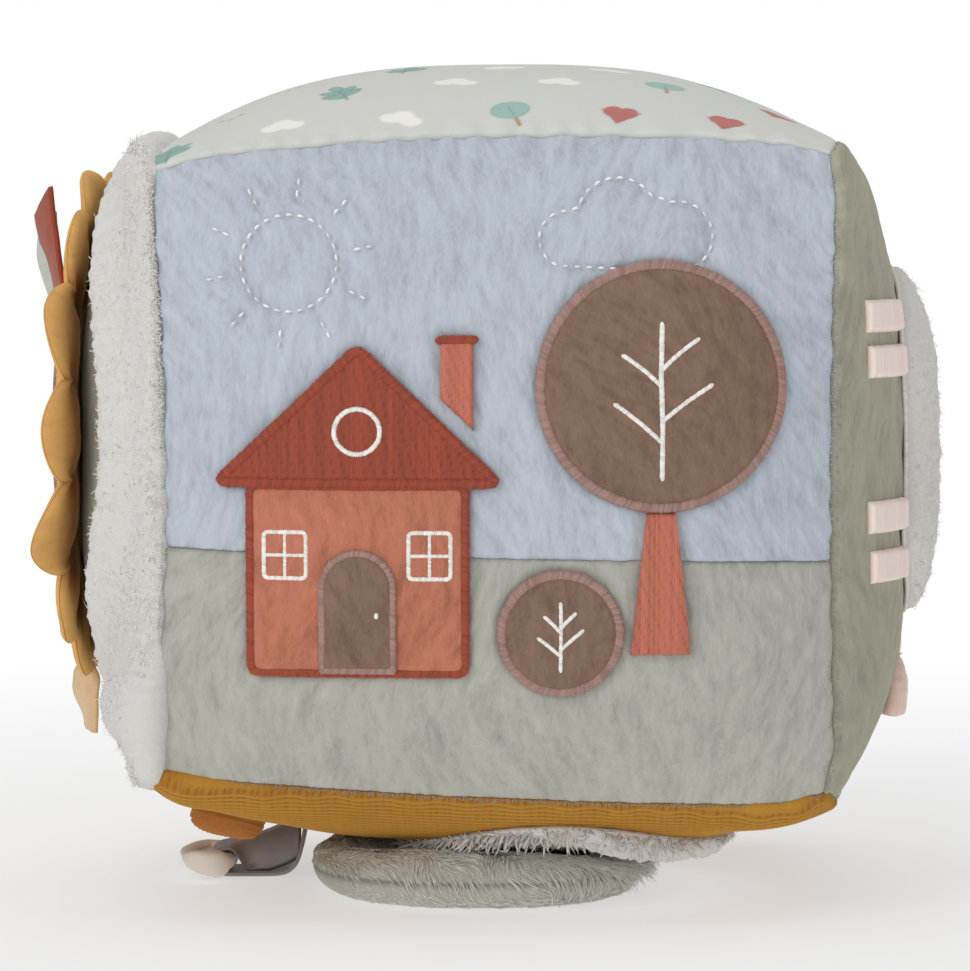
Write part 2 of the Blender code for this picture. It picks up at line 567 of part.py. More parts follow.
# legs point towards the front, two near each end of the body
for leg, (lz, ly) in {"lamb_hind_leg_upper": (28.3, -52.0), "lamb_hind_leg_lower": (19.6, -51.4),
                      "lamb_fore_leg_upper": (-10.2, -51.4), "lamb_fore_leg_lower": (-19.7, -50.8)}.items():
    out = polyline([(ly - 5.2, lz - 2.9), (ly + 5.2, lz - 2.9), (ly + 5.2, lz + 2.9), (ly - 5.2, lz + 2.9)], 5.0)
    patch(leg, "right", out, (ly, lz), LEG_PINK, FIT, 1.7, rings=2, soft=0.5)

HEAD_Y, HEAD_Z = -1.5, -46.0
head = []
for i in range(28):
    a = 2 * math.pi * i / 28
    head.append((HEAD_Y + 11.5 * math.cos(a), HEAD_Z + 10.2 * math.sin(a)))
patch("lamb_head", "right", head, (HEAD_Y, HEAD_Z), PINK, FIT, 2.0, rings=3, soft=0.9)

EAR_Y = -19.6
ear_top = on_face("right", EAR_Y, -40.0, 1.5)
EAR_AXIS = (ear_top[0], EAR_Y, ear_top[2])
ear_rows = []
for zz, half_t, half_w, dx in ((0.8, 0.7, 2.6, 0.1), (-1.0, 1.0, 3.4, 0.0), (-4.0, 1.7, 4.8, 0.0), (-7.5, 2.2, 5.4, -0.25),
                               (-10.6, 2.4, 5.2, -0.7), (-11.9, 1.9, 4.4, -1.0)):
    row = []
    for i in range(16):
        a = 2 * math.pi * i / 16
        row.append((EAR_AXIS[0] + dx + half_t * math.cos(a), EAR_Y + half_w * math.sin(a), EAR_AXIS[2] + zz))
    ear_rows.append(row)
ring_solid("lamb_ear", ear_rows, PINK, start=(EAR_AXIS[0] + 0.1, EAR_Y, EAR_AXIS[2] + 1.0),
           end=(EAR_AXIS[0] - 1.0, EAR_Y, EAR_AXIS[2] - 12.4), origin=EAR_AXIS)

# ---------------------------------------------------------------- underside
FLUFF_X, FLUFF_Y = 15.0, -13.0
fluff = [(FLUFF_X + 33.5 * math.cos(2 * math.pi * i / 32), FLUFF_Y + 42.0 * math.sin(2 * math.pi * i / 32)) for i in range(32)]
patch("fluffy_patch", "bottom", fluff, (FLUFF_X, FLUFF_Y), SHERPA_WHITE, FIT, 1.9, rings=4, soft=0.8)

# the pad: an oval cushion with a flat underside, squeezed between the block and the floor
PAD_N = 36


def pad_xy(s, a):
    c, q = math.cos(a), math.sin(a)
    return (PAD_X + PAD_RX * s * math.copysign(abs(c) ** 0.85, c), PAD_Y + PAD_RY * s * math.copysign(abs(q) ** 0.85, q))


def pad_top(s, a):
    x, y = pad_xy(s, a)
    under = on_face("bottom", max(-60, min(60, x)), max(-60, min(60, y)), 2.8)[2]
    return min(12.6, under)


def pad_ring(s, z_fn):
    return [Vector((*pad_xy(s, 2 * math.pi * i / PAD_N), z_fn(s, 2 * math.pi * i / PAD_N))) for i in range(PAD_N)]


SKIN = 1.2
lower = [pad_ring(0.45, lambda s, a: SKIN), pad_ring(0.80, lambda s, a: SKIN), pad_ring(0.92, lambda s, a: 3.0),
         pad_ring(0.965, lambda s, a: 5.3), pad_ring(1.0, lambda s, a: 5.3), pad_ring(0.955, lambda s, a: 2.2),
         pad_ring(0.84, lambda s, a: 0.0), pad_ring(0.45, lambda s, a: 0.0)]
ring_solid("pad_bottom_cover", lower, SAGE, start=(PAD_X, PAD_Y, SKIN), end=(PAD_X, PAD_Y, 0.0), origin=(PAD_X, PAD_Y, 0))
# the upper cover turns down to meet the lower one at mid height
upper = [pad_ring(0.40, lambda s, a: pad_top(s, a) - SKIN), pad_ring(0.75, lambda s, a: pad_top(s, a) - SKIN),
         pad_ring(0.90, lambda s, a: pad_top(s, a) * 0.86 - SKIN), pad_ring(0.965, lambda s, a: 5.6),
         pad_ring(1.0, lambda s, a: 5.6), pad_ring(0.965, lambda s, a: 5.6 + (pad_top(s, a) - 5.6) * 0.55),
         pad_ring(0.88, lambda s, a: pad_top(s, a) * 0.95), pad_ring(0.75, lambda s, a: pad_top(s, a)),
         pad_ring(0.40, lambda s, a: pad_top(s, a))]
c_top = pad_top(0.0, 0.0)
ring_solid("pad_top_cover", upper, SAGE, start=(PAD_X, PAD_Y, c_top - SKIN), end=(PAD_X, PAD_Y, c_top), origin=(PAD_X, PAD_Y, 0))
fill_rows = [pad_ring(0.45, lambda s, a: SKIN + FIT), pad_ring(0.78, lambda s, a: SKIN + FIT), pad_ring(0.885, lambda s, a: 3.9),
             pad_ring(0.905, lambda s, a: min(5.2, pad_top(0.90, a) * 0.86 - SKIN - FIT - 0.2)),
             pad_ring(0.865, lambda s, a: 0.66 * pad_top(0.90, a) + 0.23 * pad_top(0.75, a) - SKIN - FIT - 0.3),
             pad_ring(0.73, lambda s, a: pad_top(0.75, a) - SKIN - FIT - 0.4),
             pad_ring(0.40, lambda s, a: pad_top(0.40, a) - SKIN - FIT - 0.2)]
ring_solid("pad_wadding", fill_rows, FOAM_WHITE, start=(PAD_X, PAD_Y, SKIN + FIT), end=(PAD_X, PAD_Y, c_top - SKIN - FIT - 0.2),
           origin=(PAD_X, PAD_Y, 0))

# small padded tab of the same knit as the underside
lozenge = [(-52.0 + 7.2 * math.cos(a), -27.0 + 7.0 * math.sin(a)) for a in [2 * math.pi * i / 20 for i in range(20)]]
patch("mustard_padded_tab", "bottom", lozenge, (-52.0, -27.0), WAFFLE, FIT, 6.0, rings=3, soft=2.0)

# ribbon loop sewn to the underside beside the pad; it lies on the floor round one bar of the ring teether
LOOP_Y = 7.0
LOOP_ROOT = (-37.8, LOOP_Y, 11.4)
BAR = (-53.6, LOOP_Y - 1.5, 3.35)       # centre of the teether's right-hand bar
BAR_R = 1.9
RING_RX, RING_RY = 4.1, 11.6            # centre line of the oval ring
RING_TILT = math.radians(12.0)

loop_pts = [(-37.6, 11.3), (-39.2, 9.6), (-41.6, 8.0), (-45.0, 6.6), (-50.0, 6.05)]
for k in range(9):
    b = math.pi * k / 8
    loop_pts.append((-54.9 - 2.7 * math.sin(b), 3.35 + 2.65 * math.cos(b)))
loop_pts += [(-50.0, 0.7), (-44.6, 0.85), (-41.2, 2.6), (-39.2, 5.0), (-37.6, 7.9), (-36.4, 10.5)]
strip("grey_ribbon_loop", [(x, LOOP_Y, z) for x, z in loop_pts], (0, 1, 0), 13.0, 0.7, GREY_RIBBON, origin=LOOP_ROOT)

ring_pts = []
RING_N, RING_M = 24, 8
for i in range(RING_N):
    a = 2 * math.pi * i / RING_N
    lx = RING_RX * math.copysign(abs(math.cos(a)) ** 0.8, math.cos(a))
    ly = RING_RY * math.copysign(abs(math.sin(a)) ** 0.9, math.sin(a))
    ring_pts.append(Vector((BAR[0] + (lx - RING_RX) * math.cos(RING_TILT), BAR[1] + ly,
                            BAR[2] - (lx - RING_RX) * math.sin(RING_TILT))))
tube = bmesh.new()
rows = []
plane_n = Vector((math.sin(RING_TILT), 0, math.cos(RING_TILT)))
for i, q in enumerate(ring_pts):
    t = (ring_pts[(i + 1) % RING_N] - ring_pts[i - 1]).normalized()
    side = t.cross(plane_n).normalized()
    rows.append([tube.verts.new(q + side * BAR_R * math.cos(b) + plane_n * BAR_R * math.sin(b))
                 for b in [2 * math.pi * k / RING_M for k in range(RING_M)]])
for i in range(RING_N):
    for k in range(RING_M):
        j, m = (i + 1) % RING_N, (k + 1) % RING_M
        tube.faces.new((rows[i][k], rows[i][m], rows[j][m], rows[j][k]))
finish("ring_teether", tube, TEETHER, origin=BAR)
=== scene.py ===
# Looks of the soft fabric activity block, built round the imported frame.
# All lengths in this file are millimetres in the frame's axes: +Z up, the front faces -Y, the floor is Z = 0.
import math

import bpy
import numpy as np
from mathutils import Matrix, Vector


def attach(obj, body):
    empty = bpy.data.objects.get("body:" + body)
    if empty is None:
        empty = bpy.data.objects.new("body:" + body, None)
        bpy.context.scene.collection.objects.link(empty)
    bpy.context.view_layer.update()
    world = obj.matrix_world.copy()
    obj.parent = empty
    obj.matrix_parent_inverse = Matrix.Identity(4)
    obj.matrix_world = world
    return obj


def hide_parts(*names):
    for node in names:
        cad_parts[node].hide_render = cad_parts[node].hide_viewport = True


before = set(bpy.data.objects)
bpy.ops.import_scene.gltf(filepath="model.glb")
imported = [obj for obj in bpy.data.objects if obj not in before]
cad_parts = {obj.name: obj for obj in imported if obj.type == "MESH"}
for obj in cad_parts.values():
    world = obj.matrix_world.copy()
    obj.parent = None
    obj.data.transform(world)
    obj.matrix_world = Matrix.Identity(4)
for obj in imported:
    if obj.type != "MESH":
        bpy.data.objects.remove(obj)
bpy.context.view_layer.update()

MM = 0.001
BLOCK_Z = 87.0
HALF = 66.0
SEAM = 1.35              # how deep the cloth turns into a seam
HORIZON_V = -0.256

# ================================================================ camera, light and floor
scene = bpy.context.scene
scene.view_settings.view_transform = "Standard"
scene.view_settings.look = "None"

cam_data = bpy.data.cameras.new("photo_camera")
cam = bpy.data.objects.new("photo_camera", cam_data)
scene.collection.objects.link(cam)
cam.location = (-0.0013, -0.966, 0.1307)
cam.rotation_euler = (math.radians(90.0 - 3.0), 0.0, 0.0)
cam_data.sensor_width = 36.0
cam_data.lens = 4770.0 / 971.0 * 36.0
cam_data.clip_start = 0.05
cam_data.clip_end = 40.0
scene.camera = cam


def area_light(name, at, aim, size, power, colour=(1.0, 1.0, 1.0)):
    d = bpy.data.lights.new(name, "AREA")
    d.shape = "RECTANGLE"
    d.size, d.size_y = size
    d.energy = power
    d.color = colour
    o = bpy.data.objects.new(name, d)
    o.location = at
    o.rotation_euler = (Vector(aim) - Vector(at)).to_track_quat("-Z", "Y").to_euler()
    scene.collection.objects.link(o)
    return o


area_light("front_left_softbox", (-1.15, -1.45, 0.95), (0.0, 0.0, 0.08), (1.3, 1.3), 12.2, (1.0, 0.985, 0.965))
area_light("overhead_softbox", (-0.1, 0.15, 1.5), (0.0, 0.0, 0.0), (1.7, 1.7), 11.2, (1.0, 1.0, 1.0))
area_light("rear_right_fill", (1.3, 1.2, 0.9), (0.0, 0.0, 0.08), (1.2, 1.2), 3.2, (0.98, 0.99, 1.0))
area_light("low_front_fill", (0.25, -2.1, 0.42), (0.0, 0.0, 0.03), (1.8, 0.7), 7.8, (1.0, 0.99, 0.98))

world = bpy.data.worlds.new("studio")
scene.world = world
world.use_nodes = True
wt = world.node_tree
wt.nodes.clear()
w_out = wt.nodes.new("ShaderNodeOutputWorld")
w_mix = wt.nodes.new("ShaderNodeMixShader")
w_path = wt.nodes.new("ShaderNodeLightPath")
w_soft = wt.nodes.new("ShaderNodeBackground")
w_white = wt.nodes.new("ShaderNodeBackground")
w_soft.inputs[0].default_value = (0.96, 0.98, 1.0, 1.0)
w_soft.inputs[1].default_value = 0.25
w_white.inputs[0].default_value = (1.0, 1.0, 1.0, 1.0)
w_white.inputs[1].default_value = 1.0
wt.links.new(w_path.outputs["Is Camera Ray"], w_mix.inputs[0])
wt.links.new(w_soft.outputs[0], w_mix.inputs[1])
wt.links.new(w_white.outputs[0], w_mix.inputs[2])
wt.links.new(w_mix.outputs[0], w_out.inputs[0])


# ================================================================ noise on arrays
def hash01(ix, iy, seed):
    with np.errstate(over="ignore"):
        h = ix.astype(np.int64).astype(np.uint32) * np.uint32(374761393)
        h = h + iy.astype(np.int64).astype(np.uint32) * np.uint32(668265263)
        h = h + np.uint32((seed * 3266489917 + 974711) & 0xFFFFFFFF)
        h ^= h >> np.uint32(15)
        h = h * np.uint32(2246822519)
        h ^= h >> np.uint32(13)
        h = h * np.uint32(3266489917)
        h ^= h >> np.uint32(16)
    return h.astype(np.float64) / 4294967295.0


def noise(a, b, seed=0):
    """Smooth noise from -1 to 1 with cells of size 1."""
    fa, fb = np.floor(a), np.floor(b)
    ta, tb = a - fa, b - fb
    ta, tb = ta * ta * (3 - 2 * ta), tb * tb * (3 - 2 * tb)
    h00, h10 = hash01(fa, fb, seed), hash01(fa + 1, fb, seed)
    h01, h11 = hash01(fa, fb + 1, seed), hash01(fa + 1, fb + 1, seed)
    return 2 * ((h00 * (1 - ta) + h10 * ta) * (1 - tb) + (h01 * (1 - ta) + h11 * ta) * tb) - 1


def fbm(a, b, seed=0, octaves=4, gain=0.5):
    out, amp, tot = 0.0, 1.0, 0.0
    for k in range(octaves):
        out = out + amp * noise(a * 2 ** k + 17.3 * k, b * 2 ** k - 9.1 * k, seed + k)
        tot += amp
        amp *= gain
    return out / tot


def cells(a, b, seed=0, jitter=0.9):
    """Distance to the nearest and the second nearest of one point per unit cell, and that cell's number from 0 to 1."""
    fa, fb = np.floor(a), np.floor(b)
    d1 = np.full(np.shape(a), 9.0)
    d2 = np.full(np.shape(a), 9.0)
    who = np.zeros(np.shape(a))
    for i in (-1, 0, 1):
        for j in (-1, 0, 1):
            ca, cb = fa + i, fb + j
            px = ca + 0.5 + jitter * (hash01(ca, cb, seed) - 0.5)
            py = cb + 0.5 + jitter * (hash01(ca, cb, seed + 31) - 0.5)
            d = np.hypot(a - px, b - py)
            near = d < d1
            d2 = np.where(near, d1, np.minimum(d2, d))
            who = np.where(near, hash01(ca, cb, seed + 77), who)
            d1 = np.where(near, d, d1)
    return d1, d2, who


def streaks(a, b, angle, length, width, seed, n=9):
    """Noise of the given width drawn out along the angle: the strokes of a brushed pile."""
    ca, sa = np.cos(angle), np.sin(angle)
    out = 0.0
    for k in np.linspace(-1, 1, n):
        out = out + (1 - 0.6 * abs(k)) * noise((a + k * length * ca) / width, (b + k * length * sa) / width, seed)
    return out / (n * 0.45)


def smooth(x, lo, hi):
    t = np.clip((x - lo) / (hi - lo), 0, 1)
    return t * t * (3 - 2 * t)


# ================================================================ the pillow-shaped cube
CORNER = {
    (-1, -1, -1): (-65.0, -66.0, -58.8), (1, -1, -1): (66.0, -66.0, -64.6),
    (-1, -1, 1): (-65.4, -66.0, 57.8), (1, -1, 1): (66.0, -66.0, 60.8),
    (-1, 1, -1): (-64.5, 66.0, -60.5), (1, 1, -1): (65.5, 66.0, -62.0),
    (-1, 1, 1): (-64.5, 66.0, 60.0), (1, 1, 1): (65.5, 66.0, 60.5),
}
BOW = {
    ((-1, -1, 1), (1, -1, 1)): (0.0, 1.5, 3.6), ((-1, -1, -1), (1, -1, -1)): (0.0, 1.5, -2.0),
    ((-1, -1, -1), (-1, -1, 1)): (2.8, 1.5, 0.0), ((1, -1, -1), (1, -1, 1)): (-1.2, 1.5, 0.0),
    ((-1, 1, 1), (1, 1, 1)): (0.0, -1.5, 2.5), ((-1, 1, -1), (1, 1, -1)): (0.0, -1.5, -1.5),
    ((-1, 1, -1), (-1, 1, 1)): (1.5, -1.5, 0.0), ((1, 1, -1), (1, 1, 1)): (-0.5, -1.5, 0.0),
    ((-1, -1, 1), (-1, 1, 1)): (0.5, 0.0, 2.6), ((1, -1, 1), (1, 1, 1)): (1.2, 0.0, 1.6),
    ((-1, -1, -1), (-1, 1, -1)): (0.5, 0.0, -2.2), ((1, -1, -1), (1, 1, -1)): (1.2, 0.0, -1.0),
}
FACE = {
    "front": (1, -1, 0, 2, 78.5), "back": (1, 1, 0, 2, 78.5), "top": (2, 1, 0, 1, 78.0),
    "bottom": (2, -1, 0, 1, 77.2), "right": (0, 1, 1, 2, 82.5), "left": (0, -1, 1, 2, 80.0),
}
FULL = {"front": (3, 3), "back": (3, 3), "top": (3, 3), "bottom": (4, 3), "right": (4, 4), "left": (3, 3)}


ROUND = {
    (-1, -1, -1): (0.5, 0.8, 0.6), (1, -1, -1): (2.4, 1.0, 1.9), (-1, -1, 1): (1.0, 1.0, 1.2), (1, -1, 1): (1.1, 1.0, 1.2),
    (-1, 1, -1): (1.6, 1.6, 1.6), (1, 1, -1): (1.6, 1.6, 1.6), (-1, 1, 1): (1.6, 1.6, 1.6), (1, 1, 1): (1.6, 1.6, 1.6),
}


def rounded_corners(p):
    """The stuffing doesn't quite fill the eight corners, so they are drawn in."""
    out = p.copy()
    for key, amount in ROUND.items():
        d2 = ((p - np.array(CORNER[key])) ** 2).sum(-1)
        out -= np.array(key, float) * np.array(amount) * np.exp(-d2 / 7.0 ** 2)[..., None]
    return out


def seam_line(a, b, t, ins):
    bow = np.array(BOW[(a, b)] if (a, b) in BOW else BOW[(b, a)])
    pa = np.array(CORNER[a]) - ins[..., None] * np.array(a, float)
    pb = np.array(CORNER[b]) - ins[..., None] * np.array(b, float)
    t = t[..., None]
    return pa * (1 - t) / 2 + pb * (1 + t) / 2 + bow * (1 - t * t)


def coons(face, u, v, ins):
    axis, sign, ua, va, crown = FACE[face]
    key = {}
    for su in (-1, 1):
        for sv in (-1, 1):
            k = [0, 0, 0]
            k[axis], k[ua], k[va] = sign, su, sv
            key[(su, sv)] = tuple(k)
    c = {s: np.array(CORNER[key[s]]) - ins[..., None] * np.array(key[s], float) for s in key}
    west = seam_line(key[(-1, -1)], key[(-1, 1)], v, ins)
    east = seam_line(key[(1, -1)], key[(1, 1)], v, ins)
    south = seam_line(key[(-1, -1)], key[(1, -1)], u, ins)
    north = seam_line(key[(-1, 1)], key[(1, 1)], u, ins)
    u, v = u[..., None], v[..., None]
    p = west * (1 - u) / 2 + east * (1 + u) / 2 + south * (1 - v) / 2 + north * (1 + v) / 2
    p -= c[(-1, -1)] * (1 - u) * (1 - v) / 4 + c[(1, -1)] * (1 + u) * (1 - v) / 4
    p -= c[(-1, 1)] * (1 - u) * (1 + v) / 4 + c[(1, 1)] * (1 + u) * (1 + v) / 4
    return p


def surface(face, u, v, ins=0.0):
    """Points of the pillow surface from the block's centre, moved inwards by ins."""
    u, v, ins = (np.array(x, float) for x in np.broadcast_arrays(u, v, ins))
    axis, sign, ua, va, crown = FACE[face]
    zero = np.zeros(1)
    rise = crown - sign * coons(face, zero, zero, zero)[0][axis]
    p = coons(face, u, v, ins)
    pv = np.where((v > 0) & (face == "right"), 3, FULL[face][1])
    p[..., axis] += sign * rise * (1 - np.abs(u) ** FULL[face][0]) * (1 - np.abs(v) ** pv)
    return rounded_corners(p)


def face_normal(face, u, v):
    axis, sign = FACE[face][:2]
    e = 0.006
    n = np.cross(surface(face, u + e, v) - surface(face, u - e, v), surface(face, u, v + e) - surface(face, u, v - e))
    n /= np.linalg.norm(n, axis=-1, keepdims=True)
    return n * np.where(n[..., axis:axis + 1] * sign < 0, -1.0, 1.0)


def on_face(face, a, b, off, with_normal=False):
    """World points above the surface at in-plane coordinates a, b (from the block's centre), off along the normal."""
    a, b, off = (np.array(x, float) for x in np.broadcast_arrays(a, b, off))
    ua, va = FACE[face][2], FACE[face][3]
    u, v = a / 65.0, b / 62.0
    for _ in range(12):
        p = surface(face, u, v)
        u = u + (a - p[..., ua]) / 65.0
        v = v + (b - p[..., va]) / 62.0
    n = face_normal(face, u, v)
    q = surface(face, u, v) + n * off[..., None] + np.array([0, 0, BLOCK_Z])
    return (q, n) if with_normal else q


def make(name, verts, quads=None, tris=None, mat=None, body="block", replaces=(), slot=None, attrs=None, colours=None, smooth_shade=True):
    verts = np.asarray(verts, float).reshape(-1, 3) * MM
    quads = np.zeros((0, 4), np.int32) if quads is None else np.asarray(quads, np.int32).reshape(-1, 4)
    tris = np.zeros((0, 3), np.int32) if tris is None else np.asarray(tris, np.int32).reshape(-1, 3)
    me = bpy.data.meshes.new(name)
    me.vertices.add(len(verts))
    me.vertices.foreach_set("co", verts.astype(np.float32).ravel())
    loops = np.concatenate([quads.ravel(), tris.ravel()]).astype(np.int32)
    me.loops.add(len(loops))
    me.loops.foreach_set("vertex_index", loops)
    me.polygons.add(len(quads) + len(tris))
    starts = np.concatenate([np.arange(len(quads)) * 4, len(quads) * 4 + np.arange(len(tris)) * 3]).astype(np.int32)
    me.polygons.foreach_set("loop_start", starts)
    me.polygons.foreach_set("use_smooth", np.full(len(starts), smooth_shade))
    me.update(calc_edges=True)
    me.validate()
    for key, value in (attrs or {}).items():
        at = me.attributes.new(key, "FLOAT", "POINT")
        at.data.foreach_set("value", np.broadcast_to(np.asarray(value, np.float32), (len(verts),)).astype(np.float32).ravel())
    for key, value in (colours or {}).items():
        at = me.attributes.new(key, "FLOAT_COLOR", "POINT")
        rgba = np.ones((len(verts), 4), np.float32)
        rgba[:, :3] = value
        at.data.foreach_set("color", rgba.ravel())
    if mat is not None:
        me.materials.append(mat)
    ob = bpy.data.objects.new(name, me)
    scene.collection.objects.link(ob)
    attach(ob, body)
    if replaces:
        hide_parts(*([replaces] if isinstance(replaces, str) else replaces))
    return ob


def grid_quads(ni, nj, wrap_i=False, wrap_j=False, start=0):
    i, j = np.meshgrid(np.arange(ni if wrap_i else ni - 1), np.arange(nj if wrap_j else nj - 1), indexing="ij")
    i2, j2 = (i + 1) % ni, (j + 1) % nj
    return np.stack([i * nj + j, i2 * nj + j, i2 * nj + j2, i * nj + j2], -1).reshape(-1, 4) + start


def volume(v, quads, tris):
    t = np.concatenate([quads[:, [0, 1, 2]], quads[:, [0, 2, 3]], tris]) if len(tris) else np.concatenate([quads[:, [0, 1, 2]], quads[:, [0, 2, 3]]])
    a, b, c = v[t[:, 0]], v[t[:, 1]], v[t[:, 2]]
    return float((a * np.cross(b, c)).sum() / 6)


def ring_body(name, rings, mat, start=None, end=None, cyclic=False, attrs=None, **kw):
    """Closed body from rings of equal point count, with a pole at each end or closed round."""
    rings = np.asarray(rings, float)
    r, n = rings.shape[:2]
    verts = rings.reshape(-1, 3)
    quads = grid_quads(r, n, wrap_i=cyclic, wrap_j=True)
    tris = np.zeros((0, 3), int)
    extra = 0
    for pole, k in ((start, 0), (end, r - 1)):
        if pole is not None:
            c = len(verts)
            verts = np.concatenate([verts, np.asarray(pole, float).reshape(1, 3)])
            i = np.arange(n)
            a, b = k * n + i, k * n + (i + 1) % n
            t = np.stack([a, b, np.full(n, c)], -1) if k == 0 else np.stack([b, a, np.full(n, c)], -1)
            tris = np.concatenate([tris, t])
            extra += 1
    mid = verts.mean(0)
    if volume(verts - mid, quads, tris) < 0:
        quads, tris = quads[:, ::-1], tris[:, ::-1]
    at = {}
    for key, value in (attrs or {}).items():
        value = np.asarray(value, float).ravel()
        ends = [value[:n].mean()] * (start is not None) + [value[-n:].mean()] * (end is not None)
        at[key] = np.concatenate([value, ends])
    return make(name, verts, quads, tris, mat, attrs=at, **kw)


def resample(path, n, closed=True):
    """n points evenly spaced along a line of points, with the line's length."""
    p = np.asarray(path, float)
    if closed:
        p = np.concatenate([p, p[:1]])
    s = np.concatenate([[0], np.cumsum(np.linalg.norm(np.diff(p, axis=0), axis=1))])
    t = np.linspace(0, s[-1], n, endpoint=not closed)
    return np.stack([np.interp(t, s, p[:, k]) for k in range(p.shape[1])], -1), s[-1]


def rounded(corners, r, n=6):
    """Closed outline through corners, each rounded with about radius r."""
    out = []
    m = len(corners)
    for i in range(m):
        p, q, s = (np.array(corners[(i + k) % m], float) for k in (-1, 0, 1))
        d0, d1 = (p - q) / np.linalg.norm(p - q), (s - q) / np.linalg.norm(s - q)
        k = min(r, 0.45 * np.linalg.norm(p - q), 0.45 * np.linalg.norm(s - q))
        for t in np.linspace(0, 1, n):
            a, b = q + d0 * k, q + d1 * k
            out.append(tuple((1 - t) ** 2 * a + 2 * t * (1 - t) * q + t ** 2 * b))
    return out


def circle_path(cx, cy, r, n=180, start=0.0):
    a = np.linspace(0, 2 * np.pi, n, endpoint=False) + start
    return np.stack([cx + r * np.cos(a), cy + r * np.sin(a)], -1)


def path_distance(a, b, path, closed=True):
    """Distance of points to a line of points, and whether they lie inside it."""
    p = np.asarray(path, float)
    q = np.roll(p, -1, axis=0) if closed else p[1:]
    p = p if closed else p[:-1]
    best = np.full(a.shape, 1e9)
    inside = np.zeros(a.shape, bool)
    for (x0, y0), (x1, y1) in zip(p, q):
        dx, dy = x1 - x0, y1 - y0
        t = np.clip(((a - x0) * dx + (b - y0) * dy) / max(dx * dx + dy * dy, 1e-9), 0, 1)
        best = np.minimum(best, np.hypot(a - x0 - t * dx, b - y0 - t * dy))
        if closed and y0 != y1:
            cross = ((y0 > b) != (y1 > b)) & (a < (x1 - x0) * (b - y0) / (y1 - y0) + x0)
            inside ^= cross
    return best, inside


# ================================================================ materials
def lin(hex_code, gain=1.0):
    v = [int(hex_code[i:i + 2], 16) / 255 for i in (1, 3, 5)]
    return tuple(min(0.98, gain * (x / 12.92 if x <= 0.04045 else ((x + 0.055) / 1.055) ** 2.4)) for x in v)


class Tree:
    """Short hand for building a node tree."""

    def __init__(self, name):
        self.mat = bpy.data.materials.new(name)
        self.mat.use_nodes = True
        self.t = self.mat.node_tree
        self.bsdf = self.t.nodes["Principled BSDF"]
        self.coord = self.t.nodes.new("ShaderNodeTexCoord").outputs["Object"]

    def put(self, socket, value):
        if hasattr(value, "is_output"):
            self.t.links.new(value, socket)
        elif isinstance(value, (tuple, list)) and len(value) == 3 and getattr(socket, "type", "") == "RGBA":
            socket.default_value = (*value, 1.0)
        else:
            socket.default_value = value

    def node(self, kind, ins=(), out=0, **props):
        n = self.t.nodes.new(kind)
        for k, v in props.items():
            setattr(n, k, v)
        for k, v in dict(ins).items():
            self.put(n.inputs[k], v)
        return n.outputs[out]

    def math(self, op, a, b=0.0, c=None):
        ins = {0: a, 1: b}
        if c is not None:
            ins[2] = c
        return self.node("ShaderNodeMath", ins, operation=op)

    def scaled(self, scale, vector=None, rotation=(0, 0, 0)):
        return self.node("ShaderNodeMapping", {"Vector": vector or self.coord, "Scale": scale, "Rotation": rotation})

    def noise(self, scale, detail=2.0, rough=0.55, vector=None, out="Fac"):
        return self.node("ShaderNodeTexNoise", {"Vector": vector or self.coord, "Scale": scale, "Detail": detail, "Roughness": rough}, out=out)

    def voronoi(self, scale, vector=None, out="Distance", feature="F1", **ins):
        return self.node("ShaderNodeTexVoronoi", {"Vector": vector or self.coord, "Scale": scale, **ins}, out=out, feature=feature)

    def mix(self, fac, a, b, blend="MIX"):
        n = self.t.nodes.new("ShaderNodeMix")
        n.data_type = "RGBA"
        n.blend_type = blend
        self.put(n.inputs[0], fac)
        self.put(n.inputs[6], a)
        self.put(n.inputs[7], b)
        return n.outputs[2]

    def ramp(self, fac, stops):
        n = self.t.nodes.new("ShaderNodeValToRGB")
        r = n.color_ramp
        while len(r.elements) < len(stops):
            r.elements.new(0.5)
        for e, (pos, col) in zip(r.elements, stops):
            e.position = pos
            e.color = (*col, 1.0) if len(col) == 3 else col
        self.put(n.inputs[0], fac)
        return n.outputs[0]

    def remap(self, value, a, b, c=0.0, d=1.0):
        return self.node("ShaderNodeMapRange", {"Value": value, "From Min": a, "From Max": b, "To Min": c, "To Max": d})

    def attr(self, name, out="Fac"):
        return self.node("ShaderNodeAttribute", out=out, attribute_name=name)

    def bump(self, height, strength, distance, normal=None):
        ins = {"Height": height, "Strength": strength, "Distance": distance}
        if normal is not None:
            ins["Normal"] = normal
        return self.node("ShaderNodeBump", ins, out="Normal")

    def set(self, **kw):
        names = {"base": "Base Color", "rough": "Roughness", "metal": "Metallic", "sheen": "Sheen Weight",
                 "sheen_rough": "Sheen Roughness", "sheen_tint": "Sheen Tint", "spec": "Specular IOR Level",
                 "coat": "Coat Weight", "coat_rough": "Coat Roughness", "normal": "Normal", "sss": "Subsurface Weight",
                 "sss_radius": "Subsurface Radius", "sss_scale": "Subsurface Scale", "aniso": "Anisotropic", "trans": "Transmission Weight",
                 "ior": "IOR", "alpha": "Alpha"}
        for k, v in kw.items():
            self.put(self.bsdf.inputs[names[k]], v)
        return self.mat


def shade(rgb, k):
    return tuple(min(1.0, max(0.0, c * k)) for c in rgb)


